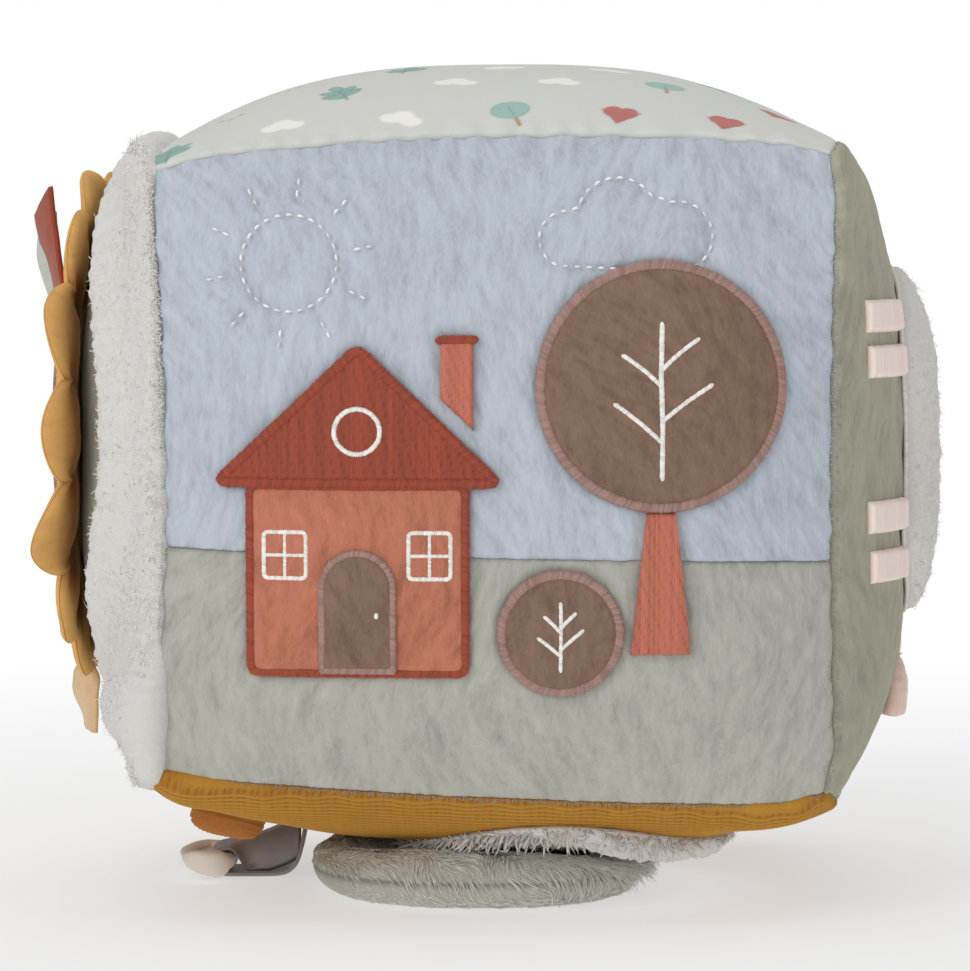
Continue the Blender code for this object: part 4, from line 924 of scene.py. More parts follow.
def motif_layers(kind, x, y):
    """Layers of one small printed motif: signed distance in millimetres and colour."""
    out = []
    if kind == "sprig":
        leaf = "#8fb3a9"
        out.append((segment(x, y, 0, -4.6, 0, 3.0, 0.28), "#7f9c8f"))
        for cx, cy, t in ((-1.9, -1.6, 0.7), (1.9, -0.6, -0.7), (-1.7, 1.3, 0.8), (1.7, 2.1, -0.8)):
            d = ellipse(x, y, cx, cy, 2.1, 1.05, -t + math.pi * (cx > 0))
            out.append((d - 0.25, "#6f958c"))
            out.append((d, leaf))
        d = ellipse(x, y, 0, 4.3, 1.1, 2.0)
        out.append((d - 0.25, "#6f958c"))
        out.append((d, leaf))
    elif kind == "heart":
        q = np.abs(x)
        d = np.minimum(np.hypot(q - 1.35, y - 1.0) - 1.75, np.maximum((q + y * -1.0 * 0.0) * 0.78 - (y + 3.1) * 0.62, y - 1.2))
        d = np.minimum(d, np.maximum(0.80 * q - 0.60 * (y + 3.2), y - 0.6))
        out.append((d - 0.22, "#a35750"))
        out.append((d, "#bd7269"))
    elif kind == "flower":
        r, a = np.hypot(x, y), np.arctan2(y, x)
        d = r - (2.3 + 1.3 * np.abs(np.cos(2.5 * a)))
        out.append((d, "#d8ab55"))
        out.append((r - 1.15, "#f0e6d2"))
    elif kind == "cloud":
        d = np.minimum(ellipse(x, y, -1.9, -0.2, 2.2, 1.7), ellipse(x, y, 1.9, -0.3, 2.4, 1.6))
        d = np.minimum(d, ellipse(x, y, 0.1, 0.9, 2.3, 2.1))
        out.append((d, "#f1efe9"))
    elif kind == "dots":
        for cx, cy in ((-2.0, 0.3), (0.2, -0.9), (1.6, 1.2)):
            out.append((np.hypot(x - cx, y - cy) - 0.62, "#cf9a54"))
    elif kind == "leafball":
        d = ellipse(x, y, 0, 1.2, 3.6, 2.9)
        out.append((segment(x, y, 0, -4.2, 0, 0.0, 0.42), "#b98a6d"))
        out.append((d - 0.2, "#7fa39a"))
        out.append((d, "#9dbfb6"))
        out.append((segment(x, y, 0, -1.0, 0, 2.2, 0.16), "#7fa39a"))
    return out


GROUND = "#cfd0cb"
MOTIFS = []
order = ["sprig", "heart", "dots", "leafball", "flower", "cloud", "sprig", "dots", "heart", "leafball", "cloud", "flower"]
k = 0
for row, yy in enumerate(np.arange(-58.0, 62.0, 15.5)):
    for col, xx in enumerate(np.arange(-60.0, 66.0, 21.0)):
        jx = 2.6 * (float(hash01(np.array([k]), np.array([1]), 5)[0]) - 0.5)
        jy = 2.6 * (float(hash01(np.array([k]), np.array([2]), 5)[0]) - 0.5)
        turn = 0.7 * (float(hash01(np.array([k]), np.array([3]), 5)[0]) - 0.5)
        MOTIFS.append((order[(k * 5 + row) % 12], xx + jx + (10.5 if row % 2 else 0.0), yy + jy, turn))
        k += 1


def top_relief(a, b, P):
    col = np.broadcast_to(np.array(lin(GROUND, 1.10)), (*a.shape, 3)).copy()
    for kind, cx, cy, turn in MOTIFS:
        near = (np.abs(a - cx) < 8.5) & (np.abs(b - cy) < 8.5)
        if not near.any():
            continue
        x, y = a[near] - cx, b[near] - cy
        c, s = math.cos(turn), math.sin(turn)
        x, y = x * c + y * s, -x * s + y * c
        part = col[near]
        for d, hexa in motif_layers(kind, x, y):
            w = np.clip(0.5 - d / 0.42, 0, 1)[:, None]
            part = part * (1 - w) + np.array(lin(hexa, 1.05)) * w
        col[near] = part
    h = 0.22 * fbm(a / 24.0, b / 24.0, 81, 3) + puckers(64.5 - np.abs(b), a, 82, 0.26, 3.6, 6.5) + puckers(64.5 - np.abs(a), b, 83, 0.24, 3.6, 6.5)
    return h, {}, {"print": col}


panel("top_printed_cloth", "top", 0.424, M["print"], top_relief, replaces="top_panel", slot="printed_cotton")


# ================================================================ patches and stitching
def dome(name, face, outline, centre, mat, low, high, seg=220, rings=40, soft=1.3, relief=None, **kw):
    """Cloth patch over a face, from its middle to a rounded rim, with a flat back."""
    line, _ = resample(outline, seg)
    c = np.array(centre, float)
    arm = line - c
    reach = np.linalg.norm(arm, axis=1)
    s = np.linspace(0, 1, rings + 1)[1:]
    A, B = c[0] + s[:, None] * arm[None, :, 0], c[1] + s[:, None] * arm[None, :, 1]
    d = (1 - s)[:, None] * reach[None, :]
    x = np.clip(d / soft, 0, 1)
    rim = low + 0.25
    h = rim + (high - rim) * np.sqrt(1 - (1 - x) ** 2)
    extra, attrs = (relief(A, B) if relief else (0.0, {}))
    h = h + extra * smooth(d, 0.0, soft)
    top = on_face(face, A, B, h)
    under = np.stack([on_face(face, c[0] + q * arm[:, 0], c[1] + q * arm[:, 1], low) for q in (0.998, 0.7, 0.35)])
    rows = np.concatenate([top, under])
    at = {k: np.concatenate([np.asarray(v).ravel(), np.zeros(3 * seg)]) for k, v in attrs.items()}
    mid_off = high + (float(np.asarray(extra)[0].mean()) if relief else 0.0)
    return ring_body(name, rows, mat, start=on_face(face, c[0], c[1], mid_off), end=on_face(face, c[0], c[1], low), attrs=at, **kw)


def plush(seed, nap=-1.57, soft=0.11):
    def relief(a, b):
        h, tone = pile(a, b, seed, nap, 1.3, 0.6, soft, 0.14)
        return h, {"nap": tone}
    return relief


def satin_band(name, face, path, width, height, base, mat, closed=True, pitch=0.44, slant=0.25, seed=1, taper=False, **kw):
    """Satin stitch along a line: threads laid side by side across it, each with its own width and tone."""
    per = 4
    _, length = resample(path, 64, closed)
    threads = max(6, int(round(length / pitch)))
    n = threads * per + (0 if closed else 1)
    line, _ = resample(path, n, closed)
    if closed:
        tan = np.roll(line, -1, axis=0) - np.roll(line, 1, axis=0)
    else:
        tan = np.gradient(line, axis=0)
    for _ in range(3):
        tan = (np.roll(tan, 1, axis=0) + tan + np.roll(tan, -1, axis=0)) / 3 if closed else tan
    tan /= np.linalg.norm(tan, axis=1, keepdims=True)
    nor = np.stack([-tan[:, 1], tan[:, 0]], -1)
    i = np.arange(n)
    which = i // per
    phase = (i % per) / per
    ridge = np.abs(np.sin(np.pi * (phase + 0.125)))
    j1 = hash01(which, which * 0 + 3, seed)
    j2 = hash01(which, which * 0 + 7, seed)
    q = np.linspace(-1, 1, 11)
    w = width / 2
    left = w * (1 + 0.09 * (j1 - 0.5) * 2) * (0.90 + 0.10 * ridge)
    right = w * (1 + 0.09 * (j2 - 0.5) * 2) * (0.90 + 0.10 * ridge)
    if taper:
        e = np.minimum(i, n - 1 - i) / (n - 1) * length
        k = np.sqrt(np.clip(e / (w * 0.9), 0.04, 1))
        left, right = left * k, right * k
    reach = np.where(q[None, :] < 0, left[:, None], right[:, None]) * q[None, :]
    A = line[:, None, 0] + nor[:, None, 0] * reach + tan[:, None, 0] * reach * slant
    B = line[:, None, 1] + nor[:, None, 1] * reach + tan[:, None, 1] * reach * slant
    crown = np.sqrt(np.clip(1 - np.abs(q) ** 2.4, 0, 1))
    h = base + height * crown[None, :] * (0.84 + 0.16 * ridge[:, None]) + 0.05 * (j1[:, None] - 0.5) * crown[None, :]
    bottom = np.stack([A[:, -1] * 0.5 + line[:, 0] * 0.5, A[:, 0] * 0.5 + line[:, 0] * 0.5], 1)
    bottom_b = np.stack([B[:, -1] * 0.5 + line[:, 1] * 0.5, B[:, 0] * 0.5 + line[:, 1] * 0.5], 1)
    A2, B2 = np.concatenate([A, bottom], 1), np.concatenate([B, bottom_b], 1)
    H2 = np.concatenate([h, np.full((n, 2), base - 0.35)], 1)
    rows = on_face(face, A2, B2, H2)
    # each thread gets its own tone; the ridge term paints shade in the grooves between threads and light on their
    # crests
    tint = np.repeat((hash01(which, which * 0 + 11, seed) * 2 - 1) * 0.6 + (ridge - 0.6) * 0.9, 13)
    if closed:
        return ring_body(name, rows, mat, cyclic=True, attrs={"tint": tint}, **kw)
    return ring_body(name, rows, mat, start=rows[0].mean(0), end=rows[-1].mean(0), attrs={"tint": tint}, **kw)


def satin_columns(name, face, x0, x1, lo, hi, base, height, mat, pitch=0.46, turn=0.0, split=0.0, seed=3, along=40, **kw):
    """Area filled with stitches that run from lo(x) to hi(x), side by side from x0 to x1, turned by an angle in the plane."""
    per = 4
    threads = int(round((x1 - x0) / pitch))
    n = threads * per + 1
    x = np.linspace(x0, x1, n)
    i = np.arange(n)
    which, phase = i // per, (i % per) / per
    ridge = np.abs(np.sin(np.pi * (phase + 0.125)))
    j = hash01(which, which * 0 + 5, seed)
    k = hash01(which, which * 0 + 6, seed)
    t = np.linspace(0, 1, along)
    a, b = lo(x) - 0.16 * j, hi(x) + 0.16 * k
    Z = a[:, None] + (b - a)[:, None] * t[None, :]
    X = np.broadcast_to(x[:, None], Z.shape)
    ends = np.minimum(Z - a[:, None], b[:, None] - Z)
    sides = np.minimum(x - x0, x1 - x)[:, None]
    crown = np.sqrt(1 - (1 - np.clip(ends / 0.9, 0, 1)) ** 2) * np.sqrt(1 - (1 - np.clip((sides + 0.05) / 0.7, 0, 1)) ** 2)
    h = base + height * crown + 0.10 * (ridge[:, None] - 0.5) * crown
    # each thread gets its own tone; the ridge term paints shade in the grooves between threads and light on their
    # crests
    tint = (hash01(which, which * 0 + 11, seed) * 2 - 1)[:, None] * 0.45 + (ridge[:, None] - 0.6) * 0.8 + 0 * Z
    if split:
        # each column is made of several stitches; their ends lie staggered from thread to thread
        ph = (Z / split + (which % 4)[:, None] * 0.25 + 0.08 * j[:, None]) % 1.0
        dip = np.exp(-((ph - 0.5) / 0.07) ** 2)
        h = h - 0.13 * dip * crown
        # painted shade in the dips where the stitches' ends meet
        tint = tint - 0.6 * dip
    mx, mz = (x0 + x1) / 2, float((lo(np.array([(x0 + x1) / 2]))[0] + hi(np.array([(x0 + x1) / 2]))[0]) / 2)
    c, s = math.cos(turn), math.sin(turn)
    XX = mx + (X - mx) * c - (Z - mz) * s if turn else X
    ZZ = mz + (X - mx) * s + (Z - mz) * c if turn else Z
    top = on_face(face, XX, ZZ, h)
    edge_i = np.concatenate([np.zeros(along, int), np.arange(1, n - 1), np.full(along, n - 1), np.arange(n - 2, 0, -1)])
    edge_j = np.concatenate([np.arange(along), np.full(n - 2, along - 1), np.arange(along - 1, -1, -1), np.zeros(n - 2, int)])
    rim = on_face(face, XX[edge_i, edge_j], ZZ[edge_i, edge_j], np.full(len(edge_i), base - 0.35))
    mid = on_face(face, mx, mz, base - 0.35)
    verts = np.concatenate([top.reshape(-1, 3), rim, mid.reshape(1, 3)])
    quads = grid_quads(n, along)
    m, r0 = len(edge_i), n * along
    ii = np.arange(m)
    nx = (ii + 1) % m
    skirt = np.stack([edge_i * along + edge_j, r0 + ii, r0 + nx, edge_i[nx] * along + edge_j[nx]], -1)
    quads = np.concatenate([quads, skirt[:, ::-1]])
    tris = np.stack([r0 + ii, np.full(m, r0 + m), r0 + nx], -1)[:, ::-1]
    v0 = verts - verts.mean(0)
    if volume(v0, quads, tris) < 0:
        quads, tris = quads[:, ::-1], tris[:, ::-1]
    at = np.concatenate([tint.ravel(), np.zeros(m + 1)])
    return make(name, verts, quads, tris, mat, attrs={"tint": at}, **kw)


def running_stitch(name, face, lines, mat, pitch=2.2, length=1.35, radius=0.25, lift=0.28, seed=1, **kw):
    """Separate stitches along lines: short plump threads whose ends dive into the cloth."""
    verts, quads, tris, tint = [], [], [], []
    sides, steps = 7, 6
    count = 0
    for path, closed in lines:
        _, total = resample(path, 200, closed)
        n = max(1, int(round(total / pitch)))
        fine, _ = resample(path, n * 20 if closed else n * 20 + 1, closed)
        for k in range(n):
            mid = (k * 20 + 10) % len(fine)
            a = fine[(mid - 2) % len(fine)] if closed else fine[max(0, mid - 2)]
            b = fine[(mid + 2) % len(fine)] if closed else fine[min(len(fine) - 1, mid + 2)]
            d = (b - a) / max(np.linalg.norm(b - a), 1e-9)
            j = float(hash01(np.array([count]), np.array([9]), seed)[0])
            half = length / 2 * (0.92 + 0.16 * j)
            s = np.linspace(-1, 1, steps + 1)
            turn = 0.10 * (j - 0.5)
            d = np.array([d[0] * math.cos(turn) - d[1] * math.sin(turn), d[0] * math.sin(turn) + d[1] * math.cos(turn)])
            centre = fine[mid]
            rad = radius * np.sqrt(np.clip(1 - np.abs(s) ** 3.0, 0.02, 1))
            off = lift + 0.16 * (1 - s * s) - 0.55 * s ** 8
            ang = 2 * np.pi * np.arange(sides) / sides
            nrm = np.array([-d[1], d[0]])
            twist = 1 + 0.10 * np.cos(2 * (ang[None, :] + 2.6 * s[:, None]))
            A = centre[0] + d[0] * half * s[:, None] + nrm[0] * rad[:, None] * np.cos(ang)[None, :] * twist
            B = centre[1] + d[1] * half * s[:, None] + nrm[1] * rad[:, None] * np.cos(ang)[None, :] * twist
            H = off[:, None] + rad[:, None] * np.sin(ang)[None, :] * twist
            pts = on_face(face, A, B, H).reshape(-1, 3)
            start = sum(len(v) for v in verts)
            q = grid_quads(steps + 1, sides, wrap_j=True, start=start)
            p0, p1 = pts[:sides].mean(0), pts[-sides:].mean(0)
            verts.append(np.concatenate([pts, [p0, p1]]))
            i = np.arange(sides)
            t0 = np.stack([start + (i + 1) % sides, start + i, np.full(sides, start + len(pts))], -1)
            last = start + steps * sides
            t1 = np.stack([last + i, last + (i + 1) % sides, np.full(sides, start + len(pts) + 1)], -1)
            vv = verts[-1] - verts[-1].mean(0)
            if volume(vv, q - start, np.concatenate([t0, t1]) - start) < 0:
                q, t0, t1 = q[:, ::-1], t0[:, ::-1], t1[:, ::-1]
            quads.append(q)
            tris += [t0, t1]
            tint.append(np.full(len(pts) + 2, j * 1.2 - 0.6))
            count += 1
    return make(name, np.concatenate(verts), np.concatenate(quads), np.concatenate(tris), mat, attrs={"tint": np.concatenate(tint)}, **kw)


# ---------------------------------------------------------------- cottage
dome("house_wall_cloth", "front", WALL, (-25, -20.5), M["terracotta"], -0.5, 1.35, seg=260, rings=44, relief=plush(101),
     replaces="house_wall_patch", slot="terracotta_plush")
satin_band("house_wall_border", "front", WALL, 1.9, 0.75, 0.75, M["rust_thread"], seed=5, slot="rust_satin")


def roof_lo(x):
    return np.full(np.shape(x), -2.6)


def roof_hi(x):
    return np.maximum(22.6 - np.abs(x + 25.0) * 24.6 / 26.0, -1.6)


satin_columns("house_roof_stitching", "front", -50.6, 0.6, roof_lo, roof_hi, 0.55, 1.05, M["rust_thread"], pitch=0.46, split=6.2, seed=8,
              along=64, replaces="house_roof_patch", slot="rust_satin")
satin_band("house_roof_border", "front", ROOF, 2.3, 0.95, 1.05, M["rust_thread"], seed=6, slot="rust_satin")
satin_columns("house_chimney_stitching", "front", -9.6, -3.4, lambda x: 13.2 - (x + 9.5) * 0.95, lambda x: np.full(np.shape(x), 24.2), 0.4, 1.0,
              M["clay_thread"], pitch=0.42, split=4.0, seed=12, along=40, replaces="house_chimney_patch", slot="terracotta_plush")
satin_band("house_chimney_cap", "front", [(-10.6, 24.2), (-2.4, 24.2)], 1.9, 0.9, 0.9, M["rust_thread"], closed=False, taper=True, seed=13, slot="rust_satin")
dome("house_door_cloth", "front", DOOR, (-25, -27.5), M["brown"], 1.0, 2.35, seg=160, rings=20, relief=plush(105), soft=0.9,
     replaces="house_door_patch", slot="brown_plush")
satin_band("house_door_border", "front", DOOR, 1.5, 0.6, 1.75, M["mauve_thread"], seed=7, slot="brown_plush")
running_stitch("house_door_knob", "front", [([(-21.4, -27.6), (-21.4, -26.2)], False)], M["white_thread"], pitch=1.4, length=1.3, radius=0.4, lift=2.35, seed=4)
for side, wx in (("left", -38.4), ("right", -11.6)):
    win = rounded([(wx - 3.9, -20.2), (wx + 3.9, -20.2), (wx + 3.9, -11.6), (wx - 3.9, -11.6)], 1.0)
    satin_band(f"house_window_{side}_frame", "front", win, 0.95, 0.5, 1.15, M["white_thread"], seed=15, pitch=0.40)
    satin_band(f"house_window_{side}_bar_upright", "front", [(wx, -19.9), (wx, -11.9)], 0.75, 0.42, 1.15, M["white_thread"], closed=False, seed=16, pitch=0.40)
    satin_band(f"house_window_{side}_bar_across", "front", [(wx - 3.6, -15.9), (wx + 3.6, -15.9)], 0.75, 0.48, 1.17, M["white_thread"], closed=False, seed=17, pitch=0.40)
satin_band("house_roof_round_window", "front", circle_path(-25, 7.2, 4.2), 1.0, 0.55, 1.55, M["white_thread"], seed=18, pitch=0.40)

# ---------------------------------------------------------------- tree and bush
satin_columns("tree_trunk_stitching", "front", 25.9, 37.1,
              lambda x: -34.6 + 0 * x, lambda x: np.where(x < 28.8, -34.2 + (x - 25.9) * 9.0, np.where(x > 34.2, -34.2 + (37.1 - x) * 9.0, -8.0)), 0.4, 0.95,
              M["clay_thread"], pitch=0.44, split=4.6, seed=21, along=52, replaces="tree_trunk_patch", slot="terracotta_plush")
dome("tree_crown_cloth", "front", CROWN, (31.5, 15.5), M["brown"], -0.5, 1.5, seg=300, rings=52, relief=plush(111, nap=-1.2), soft=1.6,
     replaces="tree_crown_patch", slot="brown_plush")
satin_band("tree_crown_border", "front", CROWN, 2.1, 0.85, 0.75, M["mauve_thread"], seed=22, slot="brown_plush")
satin_band("tree_branch_main", "front", [(31.5, -2.0), (31.6, 8.0), (31.3, 18.0), (31.5, 27.5)], 1.1, 0.55, 1.35, M["white_thread"], closed=False, taper=True, seed=23, pitch=0.40)
for i, (x0, z0, x1, z1) in enumerate(((31.5, 5.0, 22.5, 12.5), (31.5, 9.0, 41.0, 16.0), (31.4, 15.5, 24.0, 21.5), (31.4, 18.5, 38.5, 24.5))):
    mx, mz = (x0 + x1) / 2 + (1.2 if x1 < x0 else -1.2), (z0 + z1) / 2 - 0.2
    pts = [((1 - q) ** 2 * x0 + 2 * q * (1 - q) * mx + q * q * x1, (1 - q) ** 2 * z0 + 2 * q * (1 - q) * mz + q * q * z1) for q in np.linspace(0, 1, 12)]
    satin_band(f"tree_branch_{i + 1}", "front", pts, 0.95, 0.5, 1.35, M["white_thread"], closed=False, taper=True, seed=24 + i, pitch=0.40)
dome("bush_cloth", "front", BUSH, (12.8, -30.5), M["brown"], -0.5, 1.45, seg=180, rings=28, relief=plush(117, nap=-1.9), soft=1.4,
     replaces="bush_patch", slot="brown_plush")
satin_band("bush_border", "front", BUSH, 2.0, 0.85, 0.75, M["mauve_thread"], seed=31, slot="brown_plush")
for i, (x0, z0, x1, z1) in enumerate(((12.8, -37.6, 12.8, -24.4), (12.8, -34.6, 8.4, -31.0), (12.8, -33.4, 17.2, -29.6), (12.8, -30.2, 9.6, -27.0), (12.8, -29.4, 15.8, -26.4))):
    mx, mz = (x0 + x1) / 2 + (0.5 if x1 < x0 else -0.5 if x1 > x0 else 0.15), (z0 + z1) / 2 - 0.2
    pts = [((1 - q) ** 2 * x0 + 2 * q * (1 - q) * mx + q * q * x1, (1 - q) ** 2 * z0 + 2 * q * (1 - q) * mz + q * q * z1) for q in np.linspace(0, 1, 12)]
    satin_band(f"bush_vein_{i + 1}", "front", pts, 0.85, 0.5, 1.3, M["white_thread"], closed=False, taper=True, seed=32 + i, pitch=0.40)
running_stitch("cloud_stitching", "front", [(CLOUD, True)], M["white_thread"], seed=41)
running_stitch("sun_stitching", "front", [(SUN, True)] + [(r, False) for r in RAYS], M["white_thread"], seed=42)

# ================================================================ left side
FLOWER_Y, FLOWER_Z = 0.0, 6.0
FLOWER_R, FLOWER_NOTCH, PETALS = 51.8, 45.0, 14


def ring_rows():
    seg = 260
    a = np.linspace(0, 2 * np.pi, seg, endpoint=False)
    prof = [(27.4, 1.0), (27.9, 1.6)] + [(r, 2.0) for r in np.linspace(28.8, 45.6, 34)] + [(46.6, 1.6), (47.0, 1.0), (46.6, 0.3), (37.0, 0.2), (27.8, 0.3)]
    rows, tone = [], []
    for r, off in prof:
        y, z = FLOWER_Y + r * np.cos(a), FLOWER_Z + r * np.sin(a)
        h, tn = pile(y, z, 131, soft=0.09, cloudy=0.1)
        rows.append(on_face("left", y, z, off + (h if off > 1.5 else 0)))
        tone.append(tn)
    return np.stack(rows), np.concatenate(tone)


rows, tone = ring_rows()
ob = ring_body("mirror_ring_cloth", rows, M["sage"], cyclic=True, attrs={"nap": tone}, replaces="mirror_ring", slot="sage_velboa")
satin_band("mirror_ring_inner_stitch", "left", circle_path(FLOWER_Y, FLOWER_Z, 28.6), 1.6, 0.6, 1.5, M["mauve_thread"], seed=51)
satin_band("mirror_ring_outer_stitch", "left", circle_path(FLOWER_Y, FLOWER_Z, 46.0, 260), 1.5, 0.5, 1.4, M["edge_thread"], seed=52)

# lift-up flower: two velvet layers sewn together round their scalloped edge
A_N = PETALS * 26
ang = np.linspace(0, 2 * np.pi, A_N, endpoint=False)


def petal_radius(a):
    w = np.abs(np.cos(a * PETALS / 2))
    return FLOWER_NOTCH + (FLOWER_R - FLOWER_NOTCH) * w ** 0.62


CURL = np.array([(-180, 3.0), (-154, 2.0), (-129, 2.0), (-103, 2.0), (-77, 2.2), (-51, 3.1), (-26, 10.3), (0, 10.0), (26, 8.0),
                 (51, 4.4), (77, 8.0), (90, 6.0), (103, 4.5), (129, 2.5), (154, 2.0), (180, 3.0)])


def tip_curl(a):
    """How far the petals' tips stand off the block, by their angle."""
    deg = (np.degrees(a) + 180.0) % 360.0 - 180.0
    i = np.clip(np.searchsorted(CURL[:, 0], deg, side="right") - 1, 0, len(CURL) - 2)
    t_ = (deg - CURL[i, 0]) / (CURL[i + 1, 0] - CURL[i, 0])
    return CURL[i, 1] + (CURL[i + 1, 1] - CURL[i, 1]) * t_ * t_ * (3 - 2 * t_)


def flap_surface(r, a, off):
    """Point of the flower at radius r and angle a, off outside its middle; the petals curl away from the block."""
    r, a, off = (np.array(q, float) for q in np.broadcast_arrays(r, a, off))
    y = FLOWER_Y - r * np.cos(a)
    z = FLOWER_Z + r * np.sin(a)
    u, v = np.clip(y, -64, 64) / 65.0, z / 62.0
    for _ in range(12):
        p = surface("left", u, v)
        u = u + (np.clip(y, -64, 64) - p[..., 1]) / 65.0
        v = v + (z - p[..., 2]) / 62.0
    x = surface("left", u, v)[..., 0]
    curl = tip_curl(a) * np.clip((r - 26.0) / 25.5, 0, 1.05) ** 3.6
    return np.stack([x - off - curl, y, z + BLOCK_Z], -1)


RIM_S = np.array([0.0, 0.70, 0.80, 0.86, 0.895, 0.925, 0.955, 0.98, 0.993, 1.0])
RIM_T = np.array([2.0, 2.0, 1.75, 1.25, 0.85, 1.05, 1.22, 1.0, 0.6, 0.0])


def flower_layer(name, outward, mid, mat, seed, skin=0.7, **kw):
    s = np.concatenate([np.linspace(0.02, 0.78, 34), np.linspace(0.80, 0.97, 20), [0.98, 0.988, 0.994, 0.998, 1.0]])
    S, A = np.meshgrid(s, ang, indexing="ij")
    R = petal_radius(A)
    # near the middle the outline is round, towards the rim it follows the petals
    r = S * (FLOWER_NOTCH + (R - FLOWER_NOTCH) * smooth(S, 0.55, 0.95))
    notch = np.abs(np.sin(A * PETALS / 2)) ** 8
    puff = np.interp(S, RIM_S, RIM_T)
    puff = puff * (1 - 0.55 * notch * smooth(S, 0.55, 0.9) * (1 - smooth(S, 0.93, 0.97)))
    puff = puff * (1 - 0.4 * np.exp(-((S - 0.60) / 0.025) ** 2))
    y, z = r * np.cos(A), r * np.sin(A)
    h, tone = pile(y, z, seed, 0.4, 1.2, 0.7, 0.05, 0.35)
    crease = 0.30 * noise(A * 9.0, S * 6.0, seed + 2) * smooth(S, 0.3, 0.9)
    edge = np.clip(puff / 0.8, 0, 1)
    T = np.maximum(puff + (h * 0.6 + crease) * edge * (1 - smooth(S, 0.86, 0.93) * 0.7), 0.0)
    outer = flap_surface(r, A, mid + outward * (0.02 + T))
    inner_ = flap_surface(r, A, mid + outward * np.maximum(0.02, T - skin))
    rows = np.concatenate([outer, inner_[::-1]])
    pole0 = flap_surface(0.0, 0.0, mid + outward * (0.02 + float(T[0].mean())))
    pole1 = flap_surface(0.0, 0.0, mid + outward * max(0.02, float(T[0].mean()) - skin))
    at = np.concatenate([tone.ravel(), tone[::-1].ravel()])
    # painted shade: 1 towards the middle, fading out between radius 40.5 and 49.5; the back layer's material darkens
    # there as shade at the petals' roots
    root = 1 - smooth(r, 40.5, 49.5)
    return ring_body(name, rows, mat, start=pole0, end=pole1, attrs={"nap": at * 1.8, "root": np.concatenate([root.ravel(), root[::-1].ravel()])},
                     body="flower_flap", slot="mustard_velvet", **kw)


ob = flower_layer("flower_back_velvet", -1.0, 4.9, M["mustard_back"], 141, replaces="flower_back_layer")
ob = flower_layer("flower_front_velvet", 1.0, 4.95, M["mustard"], 147, replaces="flower_front_layer")

# brown plush middle of the flower with a stitched edge
c_rows, c_tone = [], []
for q in np.concatenate([np.linspace(0.04, 0.9, 24), [0.95, 0.985, 1.0, 0.97, 0.7, 0.3]]):
    c_rows.append(q)
c_a = np.linspace(0, 2 * np.pi, 160, endpoint=False)
rows, tones = [], []
for i, q in enumerate(c_rows):
    r = 17.5 * q
    y, z = r * np.cos(c_a), r * np.sin(c_a)
    h, tn = pile(y, z, 151, 0.3, 1.2, 0.6, 0.10, 0.2)
    top = i < 27
    off = (6.9 + 1.3 * np.sqrt(max(0.0, 1 - q ** 3.2)) + h * (1 - q ** 6)) if top else np.full_like(h, 6.6)
    rows.append(flap_surface(np.full_like(c_a, r), c_a, off))
    tones.append(tn if top else 0 * tn)
ob = ring_body("flower_centre_plush", np.stack(rows), M["brown"], start=flap_surface(0.0, 0.0, 8.2),
               end=flap_surface(0.0, 0.0, 6.6), attrs={"nap": np.concatenate(tones)}, body="flower_flap",
               replaces="flower_centre", slot="brown_plush")


def flap_band(name, radius_fn, width, height, base, mat, seed, pitch=0.44, n_turn=1.0, **kw):
    """Satin ring on the flower."""
    length = 2 * math.pi * float(np.mean(radius_fn(ang)))
    threads = int(round(length / pitch))
    n = threads * 4
    a = np.linspace(0, 2 * np.pi, n, endpoint=False)
    i = np.arange(n)
    which, phase = i // 4, (i % 4) / 4
    ridge = np.abs(np.sin(np.pi * (phase + 0.125)))
    j = hash01(which, which * 0 + 3, seed)
    q = np.linspace(-1, 1, 9)
    w = width / 2 * (1 + 0.09 * (j - 0.5) * 2) * (0.9 + 0.1 * ridge)
    r = radius_fn(a)[:, None] + w[:, None] * q[None, :]
    A = a[:, None] + 0.006 * q[None, :]
    crown = np.sqrt(np.clip(1 - np.abs(q) ** 2.4, 0, 1))
    off = base + height * crown[None, :] * (0.84 + 0.16 * ridge[:, None])
    r2 = np.concatenate([r, r[:, -1:] - 0.3, r[:, :1] + 0.3], 1)
    A2 = np.concatenate([A, A[:, -1:], A[:, :1]], 1)
    o2 = np.concatenate([off, np.full((n, 2), base - 0.4)], 1)
    rows = flap_surface(r2, A2, o2)
    # each thread gets its own tone; the ridge term paints shade in the grooves between threads and light on their
    # crests
    tint = np.repeat((hash01(which, which * 0 + 11, seed) * 2 - 1) * 0.6 + (ridge - 0.6) * 0.9, 11)
    return ring_body(name, rows, mat, cyclic=True, attrs={"tint": tint}, body="flower_flap", **kw)


flap_band("flower_centre_border", lambda a: np.full_like(a, 17.3), 2.0, 0.9, 6.9, M["mauve_thread"], 53, slot="brown_plush")


